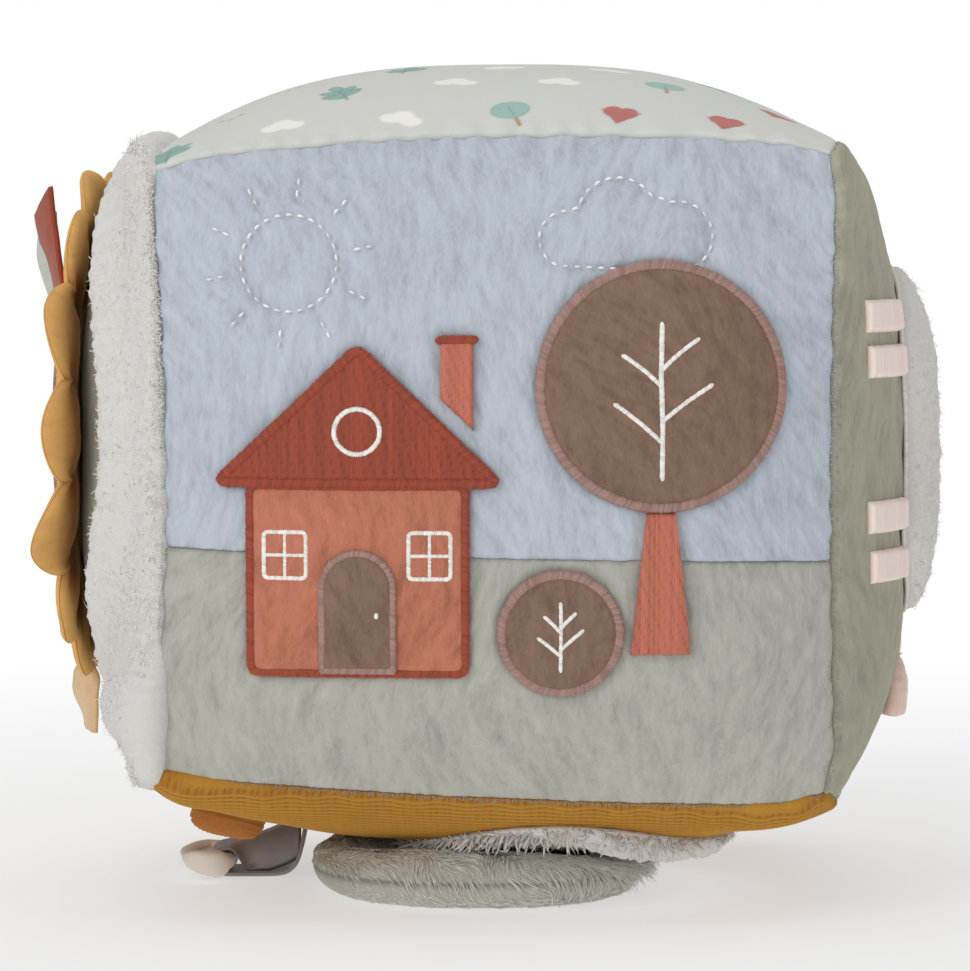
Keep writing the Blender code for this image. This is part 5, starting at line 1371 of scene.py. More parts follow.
# ================================================================ ribbons
def strip(name, path, width_dir, width, thick, mat, slant=0.0, body="block", cross=14, fine=5, bow=0.0, ripple=0.0, seed=1, round_end=0.0, shape=None, ease=1, **kw):
    """Flat ribbon along a path of points, with selvedges a little thicker than its middle."""
    p = np.asarray(path, float)
    s = np.concatenate([[0], np.cumsum(np.linalg.norm(np.diff(p, axis=0), axis=1))])
    n = (len(p) - 1) * fine + 1
    t = np.linspace(0, s[-1], n)
    # smooth curve through the points
    line = np.stack([np.interp(t, s, p[:, k]) for k in range(3)], -1)
    for _ in range(fine * 2):
        line[1:-1] = (line[:-2] + 2 * line[1:-1] + line[2:]) / 4
    f = np.linspace(0, 1, n)
    w = np.array(width_dir, float)
    w = w[0][None, :] * (1 - f ** ease)[:, None] + w[1][None, :] * (f ** ease)[:, None] if w.ndim == 2 else np.repeat(w[None, :], n, 0)
    w /= np.linalg.norm(w, axis=1, keepdims=True)
    tan = np.gradient(line, axis=0)
    tan /= np.linalg.norm(tan, axis=1, keepdims=True)
    nrm = np.cross(tan, w)
    nrm /= np.linalg.norm(nrm, axis=1, keepdims=True)
    q = np.linspace(-1, 1, cross)
    half = width / 2
    along = slant * (f ** 2)[:, None] * q[None, :]
    if round_end:
        k = np.clip((t - (s[-1] - round_end)) / round_end, 0, 1)
        half = half * np.sqrt(1 - 0.25 * k ** 2)[:, None] * np.ones((1, cross))
    else:
        half = np.full((n, cross), half)
    base = line[:, None, :] + w[:, None, :] * (half * q[None, :])[..., None] + tan[:, None, :] * along[..., None]
    wave = bow * (q ** 2 - 0.4)[None, :] + ripple * noise(f[:, None] * 5.0 + seed, q[None, :] * 1.3, seed)
    base = base + nrm[:, None, :] * wave[..., None]
    if shape is not None:
        base = shape(base, f[:, None] + 0 * q[None, :], q[None, :] + 0 * f[:, None])
    th = thick / 2 * (1 + 0.35 * np.exp(-((1 - np.abs(q)) / 0.12) ** 2))
    up = base + nrm[:, None, :] * th[None, :, None]
    dn = base - nrm[:, None, :] * th[None, :, None]
    loop = np.concatenate([up, dn[:, ::-1]], 1)
    return ring_body(name, loop, mat, start=loop[0].mean(0), end=loop[-1].mean(0), body=body, **kw)


tab_path = []
for r in (44.0, 46.0, 48.5, 52.0, 57.0, 62.5):
    q = flap_surface(min(r, 50.0), -math.pi / 2, 4.9)
    tab_path.append((q[0] - 0.06 * max(0.0, r - 51.5), 0.0, BLOCK_Z + FLOWER_Z - r))


def tab_flare(base_, f_, q_):
    """The tab is squeezed flat between the layers and again at its end; in between it stands off and turns."""
    turn_ = smooth(f_, 0.12, 0.42) * (1 - 0.52 * smooth(f_, 0.55, 1.0))
    out_ = base_.copy()
    out_[..., 0] += 1.5 * smooth(f_, 0.55, 1.0) - 1.3 * smooth(f_, 0.12, 0.42) - 2.8 * turn_ * q_
    return out_


ob = strip("flower_pull_ribbon", tab_path, (0, 1, 0), 15.0, 0.9, M["peach"], body="flower_flap", bow=0.4, ripple=0.2, seed=3, shape=tab_flare,
           replaces="flower_pull_tab", slot="peach_ribbon")

TAG_ROOT = np.array([-86.8, -29.0, BLOCK_Z + 30.0])
TAG_WIDTH = ((0.30, -0.954, 0.0), (0.52, -0.854, 0.0))
TAG_OUT = np.array([-0.954, -0.30, 0.0])
rust_path = [TAG_ROOT + TAG_OUT * (0.9 + 0.4 * t_ * t_) + np.array([2.7 * (1 - t_) ** 1.3, 3.0 * (1 - t_), 1.5 + 19.0 * t_]) for t_ in [k / 6 for k in range(7)]]
ob = strip("rust_ribbon", rust_path, TAG_WIDTH, 8.5, 0.75, M["rust_ribbon"], slant=2.8, body="rust_tag", bow=0.35, ripple=0.15, seed=5,
           replaces="rust_ribbon_tag", slot="rust_ribbon")
sage_path = [np.array([x_, TAG_ROOT[1] + 5.6 - 0.5 * k, TAG_ROOT[2] + 1.0 + 2.7 * k])
             for k, x_ in enumerate((-85.4, -86.3, -87.3, -87.9, -87.7, -87.4, -87.4))]
ob = strip("sage_ribbon", sage_path, (0.62, -0.785, 0.0), 5.6, 0.6, M["sage_ribbon"], slant=1.2, body="sage_tag", bow=0.2, ripple=0.15, seed=6,
           replaces="sage_ribbon_tag", slot="sage_ribbon")

# ================================================================ right side: padded lamb
LAMB_Y, LAMB_Z, LAMB_RY, LAMB_RZ, LAMB_RISE = -12.0, 3.2, 32.0, 33.2, 6.7


def lamb_outline(n=240):
    a = np.linspace(0, 2 * np.pi, n, endpoint=False)
    lobe = 0.98 + 0.045 * np.abs(np.cos(4 * a + 0.4))
    belly = 0.26 * np.exp(-((a - np.pi) / 0.42) ** 2)     # the belly draws in between the legs
    return np.stack([LAMB_Y + LAMB_RY * (lobe - belly) * np.sign(np.cos(a)) * np.abs(np.cos(a)) ** 0.9,
                     LAMB_Z + LAMB_RZ * lobe * np.sign(np.sin(a)) * np.abs(np.sin(a)) ** 0.9], -1)


line = lamb_outline()
c = np.array([LAMB_Y, LAMB_Z])
s = np.concatenate([np.linspace(0.02, 0.9, 66), np.linspace(0.915, 1.0, 12)])
A_ = c[0] + s[:, None] * (line[None, :, 0] - c[0])
B_ = c[1] + s[:, None] * (line[None, :, 1] - c[1])
h0, hollow = sherpa_height(A_ * 1.15, B_ * 1.15, 161)
rise = 1.2 + (LAMB_RISE - 1.6) * np.clip(1 - s ** 3.2, 0, 1) ** 0.55
H_ = rise[:, None] + (h0 * 0.62 - 0.3) * smooth(1 - s, 0.0, 0.05)[:, None]
top = on_face("right", A_, B_, H_)
under = np.stack([on_face("right", c[0] + q * (line[:, 0] - c[0]), c[1] + q * (line[:, 1] - c[1]), 0.1) for q in (0.99, 0.6, 0.3)])
# the hollows of the lamb's curly pile carry painted shade, scaled by 0.8
ob = ring_body("lamb_body_sherpa", np.concatenate([top, under]), M["sherpa"], start=on_face("right", *c, float(H_[0].mean())),
               end=on_face("right", *c, 0.1), attrs={"hollow": np.concatenate([hollow.ravel() * 0.8, np.zeros(3 * 240)])},
               replaces="lamb_body_cover", slot="white_sherpa")
satin_band("lamb_body_edge", "right", line * 1.0, 1.7, 0.6, 0.35, M["edge_thread"], seed=61, slot="leg_thread")

for leg, (lz, ly) in {"lamb_hind_leg_upper": (28.3, -52.0), "lamb_hind_leg_lower": (19.6, -51.4),
                      "lamb_fore_leg_upper": (-10.2, -51.4), "lamb_fore_leg_lower": (-19.7, -50.8)}.items():
    # stitches run up and down, side by side from the hoof to the body
    satin_columns(leg + "_stitching", "right", ly - 5.3, ly + 12.4, (lambda x, z=lz: z - 3.0 + 0 * x), (lambda x, z=lz: z + 3.0 + 0 * x), 0.3, 1.25,
                  M["leg_thread"], pitch=0.40, seed=63, along=16, replaces=leg, slot="leg_thread")

head_line = [(-1.5 + 11.5 * math.cos(a), -46.0 + 10.2 * math.sin(a) + 1.9 * max(0.0, math.sin(a)) ** 2) for a in np.linspace(0, 2 * math.pi, 120, endpoint=False)]
ob = dome("lamb_head_velvet", "right", head_line, (-1.5, -46.0), M["pink"], -0.2, 2.0, seg=160, rings=26, soft=4.0,
          relief=lambda a, b: (0.05 * streaks(a, b, a * 0 - 1.2, 1.0, 0.6, 171), {"nap": noise(a / 2, b / 2, 4)}), replaces="lamb_head", slot="pink_velvet")
satin_band("lamb_head_border", "right", head_line, 1.5, 0.6, 0.35, M["leg_thread"], seed=71, slot="leg_thread")

# ear: a puffed velvet leaf that hangs from its pinched upper end
EAR = np.array([81.770, -19.6, 46.683])
keys = np.array([[0.6, 0.5, 2.2, -0.5], [0.1, 1.3, 2.9, -0.6], [-1.2, 1.9, 3.7, -0.6], [-4.0, 2.4, 4.9, -0.7], [-7.5, 2.5, 5.5, -0.95],
                 [-9.6, 2.6, 5.4, -1.3], [-10.6, 2.55, 5.1, -1.4], [-11.1, 2.1, 4.4, -1.45], [-11.4, 0.9, 2.2, -1.45]])
zz = np.linspace(keys[0, 0], keys[-1, 0], 34)
prof = [np.interp(-zz, -keys[:, 0], keys[:, k]) for k in (1, 2, 3)]
ea = np.linspace(0, 2 * np.pi, 44, endpoint=False)
rows, tn = [], []
for z_, ht, hw, dx in zip(zz, *prof):
    fold = 1 - 0.45 * np.exp(-(z_ / 2.6) ** 2) * np.abs(np.cos(ea)) ** 4
    x = EAR[0] - 0.55 + dx + ht * np.sign(np.cos(ea)) * np.abs(np.cos(ea)) ** 0.7 * fold
    y = EAR[1] + hw * np.sin(ea)
    nn = 0.08 * noise(y / 1.2 + 40, x * 0 + z_ / 1.6, 173) + 0.06 * noise(y * 2, x * 0 + z_ * 2, 175)
    rows.append(np.stack([x + nn * np.cos(ea), y + nn * np.sin(ea), np.full_like(x, EAR[2] + z_)], -1))
    tn.append(noise(y, x * 0 + z_, 9))
ob = ring_body("lamb_ear_velvet", np.stack(rows), M["pink"], start=(EAR[0] + 0.1, EAR[1], EAR[2] + 1.2), end=(EAR[0] - 1.0, EAR[1], EAR[2] - 11.7),
               attrs={"nap": np.concatenate(tn)}, body="ear", replaces="lamb_ear", slot="pink_velvet")


# ================================================================ pile made of tufts
def tufts(name, roots, dirs, bend, length, radius, mat, segs=4, sides=3, seed=1, wiggle=0.15, floor_z=None, body="block", taper=1.0, **kw):
    """Tapered, curved tufts of pile that stand in the cloth. roots, dirs and bend are arrays of points and vectors."""
    n = len(roots)
    rng = np.random.default_rng(seed)
    length = np.broadcast_to(length, (n,)) * rng.uniform(0.75, 1.2, n)
    radius = np.broadcast_to(radius, (n,)) * rng.uniform(0.8, 1.2, n)
    d = dirs / np.linalg.norm(dirs, axis=1, keepdims=True)
    side = np.cross(d, rng.normal(size=(n, 3)))
    side /= np.linalg.norm(side, axis=1, keepdims=True)
    other = np.cross(d, side)
    t = np.linspace(0, 1, segs + 1)
    w1 = rng.normal(size=(n, 1, 3)) * wiggle
    w2 = rng.normal(size=(n, 1, 3)) * wiggle
    line = roots[:, None, :] + length[:, None, None] * (d[:, None, :] * t[None, :, None] + bend[:, None, :] * (t ** 2)[None, :, None]
                                                        + w1 * (np.sin(np.pi * t) * t)[None, :, None] + w2 * (t ** 2)[None, :, None])
    if floor_z is not None:
        line[..., 2] = np.maximum(line[..., 2], floor_z)
    ang_ = 2 * np.pi * np.arange(sides) / sides
    prof_ = (1 - t[:-1] ** 1.6 * taper)
    ring = (side[:, None, None, :] * np.cos(ang_)[None, None, :, None] + other[:, None, None, :] * np.sin(ang_)[None, None, :, None])
    pts = line[:, :-1, None, :] + ring * (radius[:, None, None, None] * prof_[None, :, None, None])
    if floor_z is not None:
        pts[..., 2] = np.maximum(pts[..., 2], 0.02)
    pts = pts.reshape(n, segs * sides, 3)
    allp = np.concatenate([pts, line[:, -1:, :]], 1)
    per = segs * sides + 1
    base = np.arange(n)[:, None, None] * per
    k, j = np.meshgrid(np.arange(segs - 1), np.arange(sides), indexing="ij")
    j2 = (j + 1) % sides
    q = np.stack([k * sides + j, k * sides + j2, (k + 1) * sides + j2, (k + 1) * sides + j], -1).reshape(-1, 4)
    quads = (q[None] + base).reshape(-1, 4)
    j = np.arange(sides)
    tip = np.stack([(segs - 1) * sides + j, (segs - 1) * sides + (j + 1) % sides, np.full(sides, per - 1)], -1)
    tris = (tip[None] + base).reshape(-1, 3)
    if sides == 3:
        tris = np.concatenate([tris, (np.array([[0, 2, 1]])[None] + base).reshape(-1, 3)])
    along = np.concatenate([np.repeat(t[:-1], sides), [1.0]])
    at = {"along": np.tile(along, n), "tint": np.repeat(rng.uniform(-1, 1, n), per)}
    return make(name, allp.reshape(-1, 3), quads, tris, mat, attrs=at, body=body, **kw)


rng = np.random.default_rng(41)
n_ = 6500
a_l = rng.integers(0, len(line), n_)
q_l = np.sqrt(rng.uniform(0.05, 0.98, n_))
la, lb = c[0] + q_l * (line[a_l, 0] - c[0]), c[1] + q_l * (line[a_l, 1] - c[1])
lh, _ = sherpa_height(la * 1.15, lb * 1.15, 161)
lp, ln_ = on_face("right", la, lb, 1.2 + (LAMB_RISE - 1.6) * np.clip(1 - q_l ** 3.2, 0, 1) ** 0.55 + lh * 0.62 - 0.8, with_normal=True)
tufts("lamb_curls", lp, ln_ * 0.8 + rng.normal(size=ln_.shape) * 0.6, rng.normal(size=ln_.shape) * 0.6 - ln_ * 0.5, 0.85, 0.15, M["sherpa_fuzz"], segs=3, seed=42,
      wiggle=0.4, slot="white_sherpa")

# ================================================================ underside
PAD_X, PAD_Y, PAD_RX, PAD_RY = -3.0, -9.0, 33.0, 40.5
PAD_SEG = 200
pa_ = np.linspace(0, 2 * np.pi, PAD_SEG, endpoint=False)


def pad_xy(s_, a):
    cc, q = np.cos(a), np.sin(a)
    return (PAD_X + PAD_RX * s_ * np.sign(cc) * np.abs(cc) ** 0.85, PAD_Y + PAD_RY * s_ * np.sign(q) * np.abs(q) ** 0.85)


def pad_ceiling(x, y):
    return np.minimum(12.6, on_face("bottom", np.clip(x, -60, 60), np.clip(y, -60, 60), 2.5)[..., 2])


def pad_upper(s_, a):
    x, y = pad_xy(s_, a)
    return np.stack([x, y, 5.5 + (pad_ceiling(x, y) - 5.5) * np.sqrt(np.clip(1 - s_ ** 8, 0, 1))], -1)


def pad_lower(s_, a):
    x, y = pad_xy(s_, a)
    q = np.clip((s_ - 0.82) / 0.18, 0, 1)
    return np.stack([x, y, 0.02 + 5.4 * (1 - np.sqrt(np.clip(1 - q ** 2, 0, 1)))], -1)


s_up = np.concatenate([np.linspace(0.03, 0.7, 14), np.linspace(0.73, 0.95, 16), np.linspace(0.96, 1.0, 9)])
S_, AA = np.meshgrid(s_up, pa_, indexing="ij")
up_rows = pad_upper(S_, AA)
hh, tt = pile(up_rows[..., 0], up_rows[..., 1], 181, -0.6, 2.0, 0.9, 0.18, 0.2)
up_rows[..., 2] += hh * smooth(1 - S_, 0.0, 0.1) * 0.6 - 0.3
pad_in = np.stack([pad_upper(np.full(PAD_SEG, q), pa_) - np.array([0, 0, 1.2]) for q in (0.97, 0.8, 0.4)])
ob = ring_body("pad_upper_cloth", np.concatenate([up_rows, pad_in]), M["meadow"], start=(PAD_X, PAD_Y, 12.0), end=(PAD_X, PAD_Y, 10.9),
               attrs={"nap": np.concatenate([tt.ravel(), np.zeros(3 * PAD_SEG)])}, replaces="pad_top_cover", slot="sage_velboa")
s_lo = np.concatenate([np.linspace(0.03, 0.8, 10), np.linspace(0.83, 1.0, 18)])
S_, AA = np.meshgrid(s_lo, pa_, indexing="ij")
lo_rows = pad_lower(S_, AA)
pad_in = np.stack([pad_lower(np.full(PAD_SEG, q), pa_) + np.array([0, 0, 1.2]) for q in (0.97, 0.8, 0.4)])
ob = ring_body("pad_lower_cloth", np.concatenate([lo_rows, pad_in]), M["meadow"], start=(PAD_X, PAD_Y, 0.02), end=(PAD_X, PAD_Y, 1.3),
               attrs={"nap": np.zeros(len(s_lo) * PAD_SEG + 3 * PAD_SEG)}, replaces="pad_bottom_cover", slot="sage_velboa")


def surface_roots(fn, s0, s1, count, seed):
    """Scattered roots on a ring-shaped surface, with the direction outwards and the surface normal."""
    rng = np.random.default_rng(seed)
    s_ = np.sqrt(rng.uniform(s0 ** 2, s1 ** 2, count))
    a = rng.uniform(0, 2 * np.pi, count)
    p = fn(s_, a)
    e = 0.004
    ds = fn(np.minimum(s_ + e, 1.0), a) - fn(s_ - e, a)
    da = fn(s_, a + e) - fn(s_, a - e)
    n = np.cross(ds, da)
    n /= np.maximum(np.linalg.norm(n, axis=1, keepdims=True), 1e-12)
    out = np.stack([p[:, 0] - PAD_X, p[:, 1] - PAD_Y, 0 * a], -1)
    out /= np.maximum(np.linalg.norm(out, axis=1, keepdims=True), 1e-9)
    flip = (n * out).sum(1) < 0
    n[flip] *= -1
    return p, n, out


COMB = np.array([0.55, -0.35, -0.75])
swirl_at = lambda p: noise(p[:, 0] / 7.0, p[:, 2] / 6.0 + p[:, 1] / 7.0, 7)[:, None] * np.array([0.9, 0.4, 0.5])
for part_, fn_, s0_, count_, seed_ in (("upper", pad_upper, 0.80, 8200, 5), ("lower", pad_lower, 0.84, 6200, 6)):
    p_, n_, o_ = surface_roots(fn_, s0_, 0.999, count_, seed_)
    comb = COMB + swirl_at(p_)
    comb = comb - n_ * (comb * n_).sum(1, keepdims=True)
    comb /= np.maximum(np.linalg.norm(comb, axis=1, keepdims=True), 1e-9)
    right_ = smooth(p_[:, 0], -30.0, 5.0)
    long_ = (1.5 + 0.9 * right_ + 1.5 * np.exp(-((p_[:, 2] - 6.6) / 1.5) ** 2)) * (0.45 + 0.55 * smooth(p_[:, 0], -36.0, -27.0))
    tufts("pad_pile_" + part_, p_ - n_ * 0.35, n_ * 0.30 + comb * 0.9, comb * 0.3 - n_ * 0.25, long_, 0.20, M["pad_fur"], segs=4, seed=8 + seed_, wiggle=0.10,
          floor_z=0.12, taper=0.8, slot="sage_velboa")

p_, n_, o_ = surface_roots(pad_upper, 0.50, 0.82, 3400, 25)
comb = COMB + swirl_at(p_) + np.array([0.0, 0.0, 1.1])
comb /= np.linalg.norm(comb, axis=1, keepdims=True)
tufts("pad_pile_top", p_ - n_ * 0.3, n_ * 0.7 + comb * 0.5, comb * 0.3, 1.5, 0.24, M["pad_fur"], segs=3, seed=28, wiggle=0.2, floor_z=0.12, taper=0.8, slot="sage_velboa")

# fluffy patch
FX, FY = 15.0, -13.0


def fluff_pt(s_, a, off):
    return on_face("bottom", FX + 33.5 * s_ * np.cos(a), FY + 42.0 * s_ * np.sin(a), off)


fa_ = np.linspace(0, 2 * np.pi, 160, endpoint=False)
fs = np.concatenate([np.linspace(0.04, 0.95, 34), [0.98, 1.0]])
S_, AA = np.meshgrid(fs, fa_, indexing="ij")
hx, fluff_hollow_shade = sherpa_height(S_ * 33 * np.cos(AA), S_ * 42 * np.sin(AA), 191)


def fluff_sag(x, y):
    """Beside the pad the patch hangs free and is thicker, most of all at the front right."""
    pe = ((x - PAD_X) / PAD_RX) ** 2 + ((y - PAD_Y) / PAD_RY) ** 2
    return smooth(pe, 1.05, 1.45) * smooth(x, -22.0, 14.0)


sag = fluff_sag(FX + 33.5 * S_ * np.cos(AA), FY + 42.0 * S_ * np.sin(AA))
top = fluff_pt(S_, AA, 0.9 + (hx * (0.35 + 0.9 * sag) + 1.9 * sag) * np.sqrt(np.clip(1 - S_ ** 10, 0, 1)))
bot = np.stack([fluff_pt(np.full(160, q), fa_, 0.1) for q in (0.985, 0.6, 0.25)])
# the hollows of the patch's curly pile carry painted shade, scaled by 0.5
ob = ring_body("fluffy_patch_cloth", np.concatenate([top, bot]), M["sherpa"], start=on_face("bottom", FX, FY, 1.2), end=on_face("bottom", FX, FY, 0.1),
               attrs={"hollow": np.concatenate([0.5 * fluff_hollow_shade.ravel(), np.zeros(480)])}, replaces="fluffy_patch", slot="white_sherpa")
rng = np.random.default_rng(12)
count = 7600
ss = np.concatenate([np.sqrt(rng.uniform(0.72 ** 2, 1.0, 6200)), np.sqrt(rng.uniform(0.0, 0.72 ** 2, 1400))])
aa = rng.uniform(0, 2 * np.pi, count)
fx_, fy_ = FX + 33.5 * ss * np.cos(aa), FY + 42.0 * ss * np.sin(aa)
sg = fluff_sag(fx_, fy_)
rt, nn = on_face("bottom", fx_, fy_, 0.6 + 1.9 * sg * np.sqrt(np.clip(1 - ss ** 10, 0, 1)), with_normal=True)
outw = np.stack([np.cos(aa) * 33.5, np.sin(aa) * 42.0, 0 * aa], -1)
outw /= np.linalg.norm(outw, axis=1, keepdims=True)
inside_pad = ((rt[:, 0] - PAD_X) / PAD_RX) ** 2 + ((rt[:, 1] - PAD_Y) / PAD_RY) ** 2 < 0.98
ln = np.where(inside_pad, 0.9, 0.48 + 0.12 * sg)
tufts("fluffy_patch_pile", rt, nn * 0.6 + outw * np.where(inside_pad, 0.9, 0.45)[:, None] + rng.normal(size=(count, 3)) * 0.35,
      rng.normal(size=(count, 3)) * 0.6 - nn * 0.4, ln, 0.30, M["white_fur"], segs=4, seed=9, wiggle=0.35, floor_z=1.0, taper=0.6, slot="white_sherpa")

# longer locks hang from its front edge over the pad
rng = np.random.default_rng(14)
count = 900
aa = rng.uniform(math.radians(188.0), math.radians(318.0), count)
ss = rng.uniform(0.84, 0.995, count)
rt, nn = on_face("bottom", FX + 33.5 * ss * np.cos(aa), FY + 42.0 * ss * np.sin(aa), 0.9, with_normal=True)
outw = np.stack([np.cos(aa), np.sin(aa), 0 * aa], -1) + np.array([-0.25, 0.0, 0.0])
hang_ = 1.2 + 1.5 * rng.uniform(size=count)
tufts("fluffy_patch_locks", rt, outw * 0.7 + nn * 0.75 + rng.normal(size=(count, 3)) * 0.22, rng.normal(size=(count, 3)) * 0.35 + nn * 0.2, hang_, 0.42, M["white_fur"],
      segs=5, seed=19, wiggle=0.25, floor_z=1.0, taper=0.75, slot="white_sherpa")

# small padded tab of the same knit
lz = circle_path(-52.0, -27.0, 1.0, 110) - np.array([-52.0, -27.0])
ts = np.concatenate([np.linspace(0.05, 0.8, 14), np.linspace(0.83, 1.0, 20)])
tab_tilt = lambda x: 2.3 * smooth(-x, 46.0, 60.0)
rows, knit_light_shade, dd_ = [], [], []
for q in ts:
    A1, B1 = -50.9 + 6.3 * q * lz[:, 0], -27.0 + 7.0 * q * lz[:, 1]
    off = 2.3 + 3.2 * math.sqrt(max(0.0, 1 - q ** 3.4)) + tab_tilt(A1) - 0.45 * math.exp(-((q - 0.92) / 0.022) ** 2)
    off = off + 0.16 * np.cos(2 * np.pi * B1 / 1.25) * np.cos(2 * np.pi * A1 / 1.5) * (1 - q ** 12)
    rows.append(on_face("bottom", A1, B1, off))
    knit_light_shade.append(np.cos(2 * np.pi * B1 / 1.25) * np.cos(2 * np.pi * A1 / 1.5) * 3.0)
    dd_.append(0 * A1)
for off in (2.2, 2.0, 1.8, 1.6, 1.4, 1.2, 1.0, 0.8, 0.6, 0.4):
    bulge = 1.012 + 0.012 * math.cos(2 * math.pi * off / 1.0)
    A1, B1 = -50.9 + 6.3 * bulge * lz[:, 0], -27.0 + 7.0 * bulge * lz[:, 1]
    rows.append(on_face("bottom", A1, B1, off + tab_tilt(A1) * off / 2.3))
    knit_light_shade.append(np.cos(2 * np.pi * np.full(110, off) / 1.0) * 3.0)
    dd_.append(smooth(np.cos(np.arange(110) * 2 * np.pi / 4.0), 0.3, 0.9))
for q in (0.6, 0.3):
    rows.append(on_face("bottom", -50.9 + 6.3 * q * lz[:, 0], -27.0 + 7.0 * q * lz[:, 1], 0.3))
    knit_light_shade.append(np.zeros(110))
    dd_.append(np.zeros(110))
# the nap values follow the knit's bumps: painted light on the bumps and painted shade in the dips
ob = ring_body("mustard_tab_knit", np.stack(rows), M["tab_velvet"], start=on_face("bottom", -50.9, -27.0, 5.5 + float(tab_tilt(np.array(-50.9)))), end=on_face("bottom", -50.9, -27.0, 0.3),
               attrs={"nap": np.concatenate(knit_light_shade) * 0.35}, replaces="mustard_padded_tab", slot="mustard_velvet")

# ribbon loop round the teether's bar
LOOP_Y = 7.0
BAR = np.array([-53.6, LOOP_Y - 1.5, 3.35])
loop_pts = [(-39.0, 11.4), (-40.2, 10.7), (-42.2, 9.8), (-45.2, 8.6), (-49.0, 7.2), (-52.0, 6.2)]
for k in range(9):
    b_ = math.pi * k / 8
    loop_pts.append((-54.9 - 2.7 * math.sin(b_), 3.35 + 2.65 * math.cos(b_)))
loop_pts += [(-50.0, 0.7), (-44.6, 0.75), (-41.9, 0.95), (-40.0, 2.3), (-39.0, 4.7), (-38.4, 7.6), (-37.9, 10.5)]


def slumped(base_, f_, q_):
    """The two runs of the loop close together at the near edge, so that the loop looks like a soft roll."""
    x_ = base_[..., 0]
    upper = f_ < 0.45
    span = smooth(x_, -53.5, -48.5) * (1 - 0.15 * smooth(x_, -40.5, -38.0))
    w_ = np.clip((0.35 - q_) / 1.35, 0, 1)
    turn_ = 1.54 * w_
    out_ = base_.copy()
    out_[..., 2] -= np.where(upper, span * 7.3 * (1 - np.cos(turn_)), 0.0)
    out_[..., 1] += np.where(upper, span * (8.8 * w_ - 5.2 * np.sin(turn_)) - 1.2 * span, 0.0)
    floor_ = np.where(upper, 1.5, 0.45)
    out_[..., 2] = np.maximum(out_[..., 2], floor_)
    return out_


ob = strip("grey_satin_loop", [(x, LOOP_Y, z) for x, z in loop_pts], (0, 1, 0), 13.0, 0.6, M["grey_ribbon"], body="ribbon", fine=4, cross=16,
           ripple=0.10, seed=9, shape=slumped, replaces="grey_ribbon_loop", slot="grey_satin_ribbon")

# ring teether: an oval ring of smooth silicone
RX_, RY_, TILT, BAR_R = 4.1, 11.6, math.radians(9.0), 1.9
N1, N2 = 120, 28
a = np.linspace(0, 2 * np.pi, N1, endpoint=False)
lx = RX_ * np.sign(np.cos(a)) * np.abs(np.cos(a)) ** 0.8
ly = RY_ * np.sign(np.sin(a)) * np.abs(np.sin(a)) ** 0.9
centre = np.stack([BAR[0] + (lx - RX_) * math.cos(TILT), BAR[1] + ly, BAR[2] - (lx - RX_) * math.sin(TILT)], -1)
for _ in range(6):
    centre = (np.roll(centre, 1, 0) + 2 * centre + np.roll(centre, -1, 0)) / 4
pn = np.array([math.sin(TILT), 0, math.cos(TILT)])
tan = np.roll(centre, -1, 0) - np.roll(centre, 1, 0)
tan /= np.linalg.norm(tan, axis=1, keepdims=True)
sd = np.cross(tan, pn)
b_ = np.linspace(0, 2 * np.pi, N2, endpoint=False)
rad = BAR_R * (1 + 0.05 * np.cos(6 * a)) * (1 - 0.13 * smooth(np.cos(a), 0.3, 0.75))      # the bar inside the loop is slimmer
near_ = smooth(-np.sin(a), 0.45, 0.95)
square_ = (1 - 0.35 * near_)[:, None]
cb, sb = (np.sign(q) * np.abs(q) ** square_ for q in (np.cos(b_)[None, :], np.sin(b_)[None, :]))
rows = centre[:, None, :] + sd[:, None, :] * ((rad * (1 + 0.2 * near_))[:, None] * cb)[..., None]
rows = rows + pn[None, None, :] * ((rad * (1 + 0.42 * near_) * (1 - 0.5 * smooth(-np.cos(a), -0.15, 0.9)))[:, None] * sb)[..., None]
ring_body("ring_teether_smooth", rows, M["teether"], cyclic=True, body="teether", replaces="ring_teether", slot="teether_silicone")

# ================================================================ fuzz of the curly pile, and pile that stands over the seams
def face_roots(face, a0, a1, b0, b1, count, seed, keep=None):
    rng_ = np.random.default_rng(seed)
    A1, B1 = rng_.uniform(a0, a1, count), rng_.uniform(b0, b1, count)
    if keep is not None:
        ok = keep(A1, B1)
        A1, B1 = A1[ok], B1[ok]
    return A1, B1


A1, B1 = face_roots("left", -64.5, 64.5, -60.5, 60.5, 9000, 21, keep=lambda a, b: (np.hypot(a, b - 6.0) > 52.0))


def sherpa_curls(name, A1, B1, seed, length=0.85, radius=0.15):
    h1, _ = sherpa_height(A1, B1, 51)
    pt, nm = on_face("left", A1, B1, 0.75 * h1 + sherpa_swell(A1, B1) - 0.5, with_normal=True)
    rng_ = np.random.default_rng(seed)
    dr = nm * 0.7 + rng_.normal(size=nm.shape) * 0.7
    return tufts(name, pt, dr, rng_.normal(size=nm.shape) * 0.6 - nm * 0.6, length, radius, M["sherpa_fuzz"], segs=3, seed=seed + 1, wiggle=0.4, slot="white_sherpa")


sherpa_curls("left_sherpa_curls", A1, B1, 22)
A1, B1 = face_roots("left", -66.0, -44.0, -60.8, 60.8, 5200, 25, keep=lambda a, b: (np.hypot(a, b - 6.0) > 50.5))
sherpa_curls("left_sherpa_front_curls", A1, B1, 26)


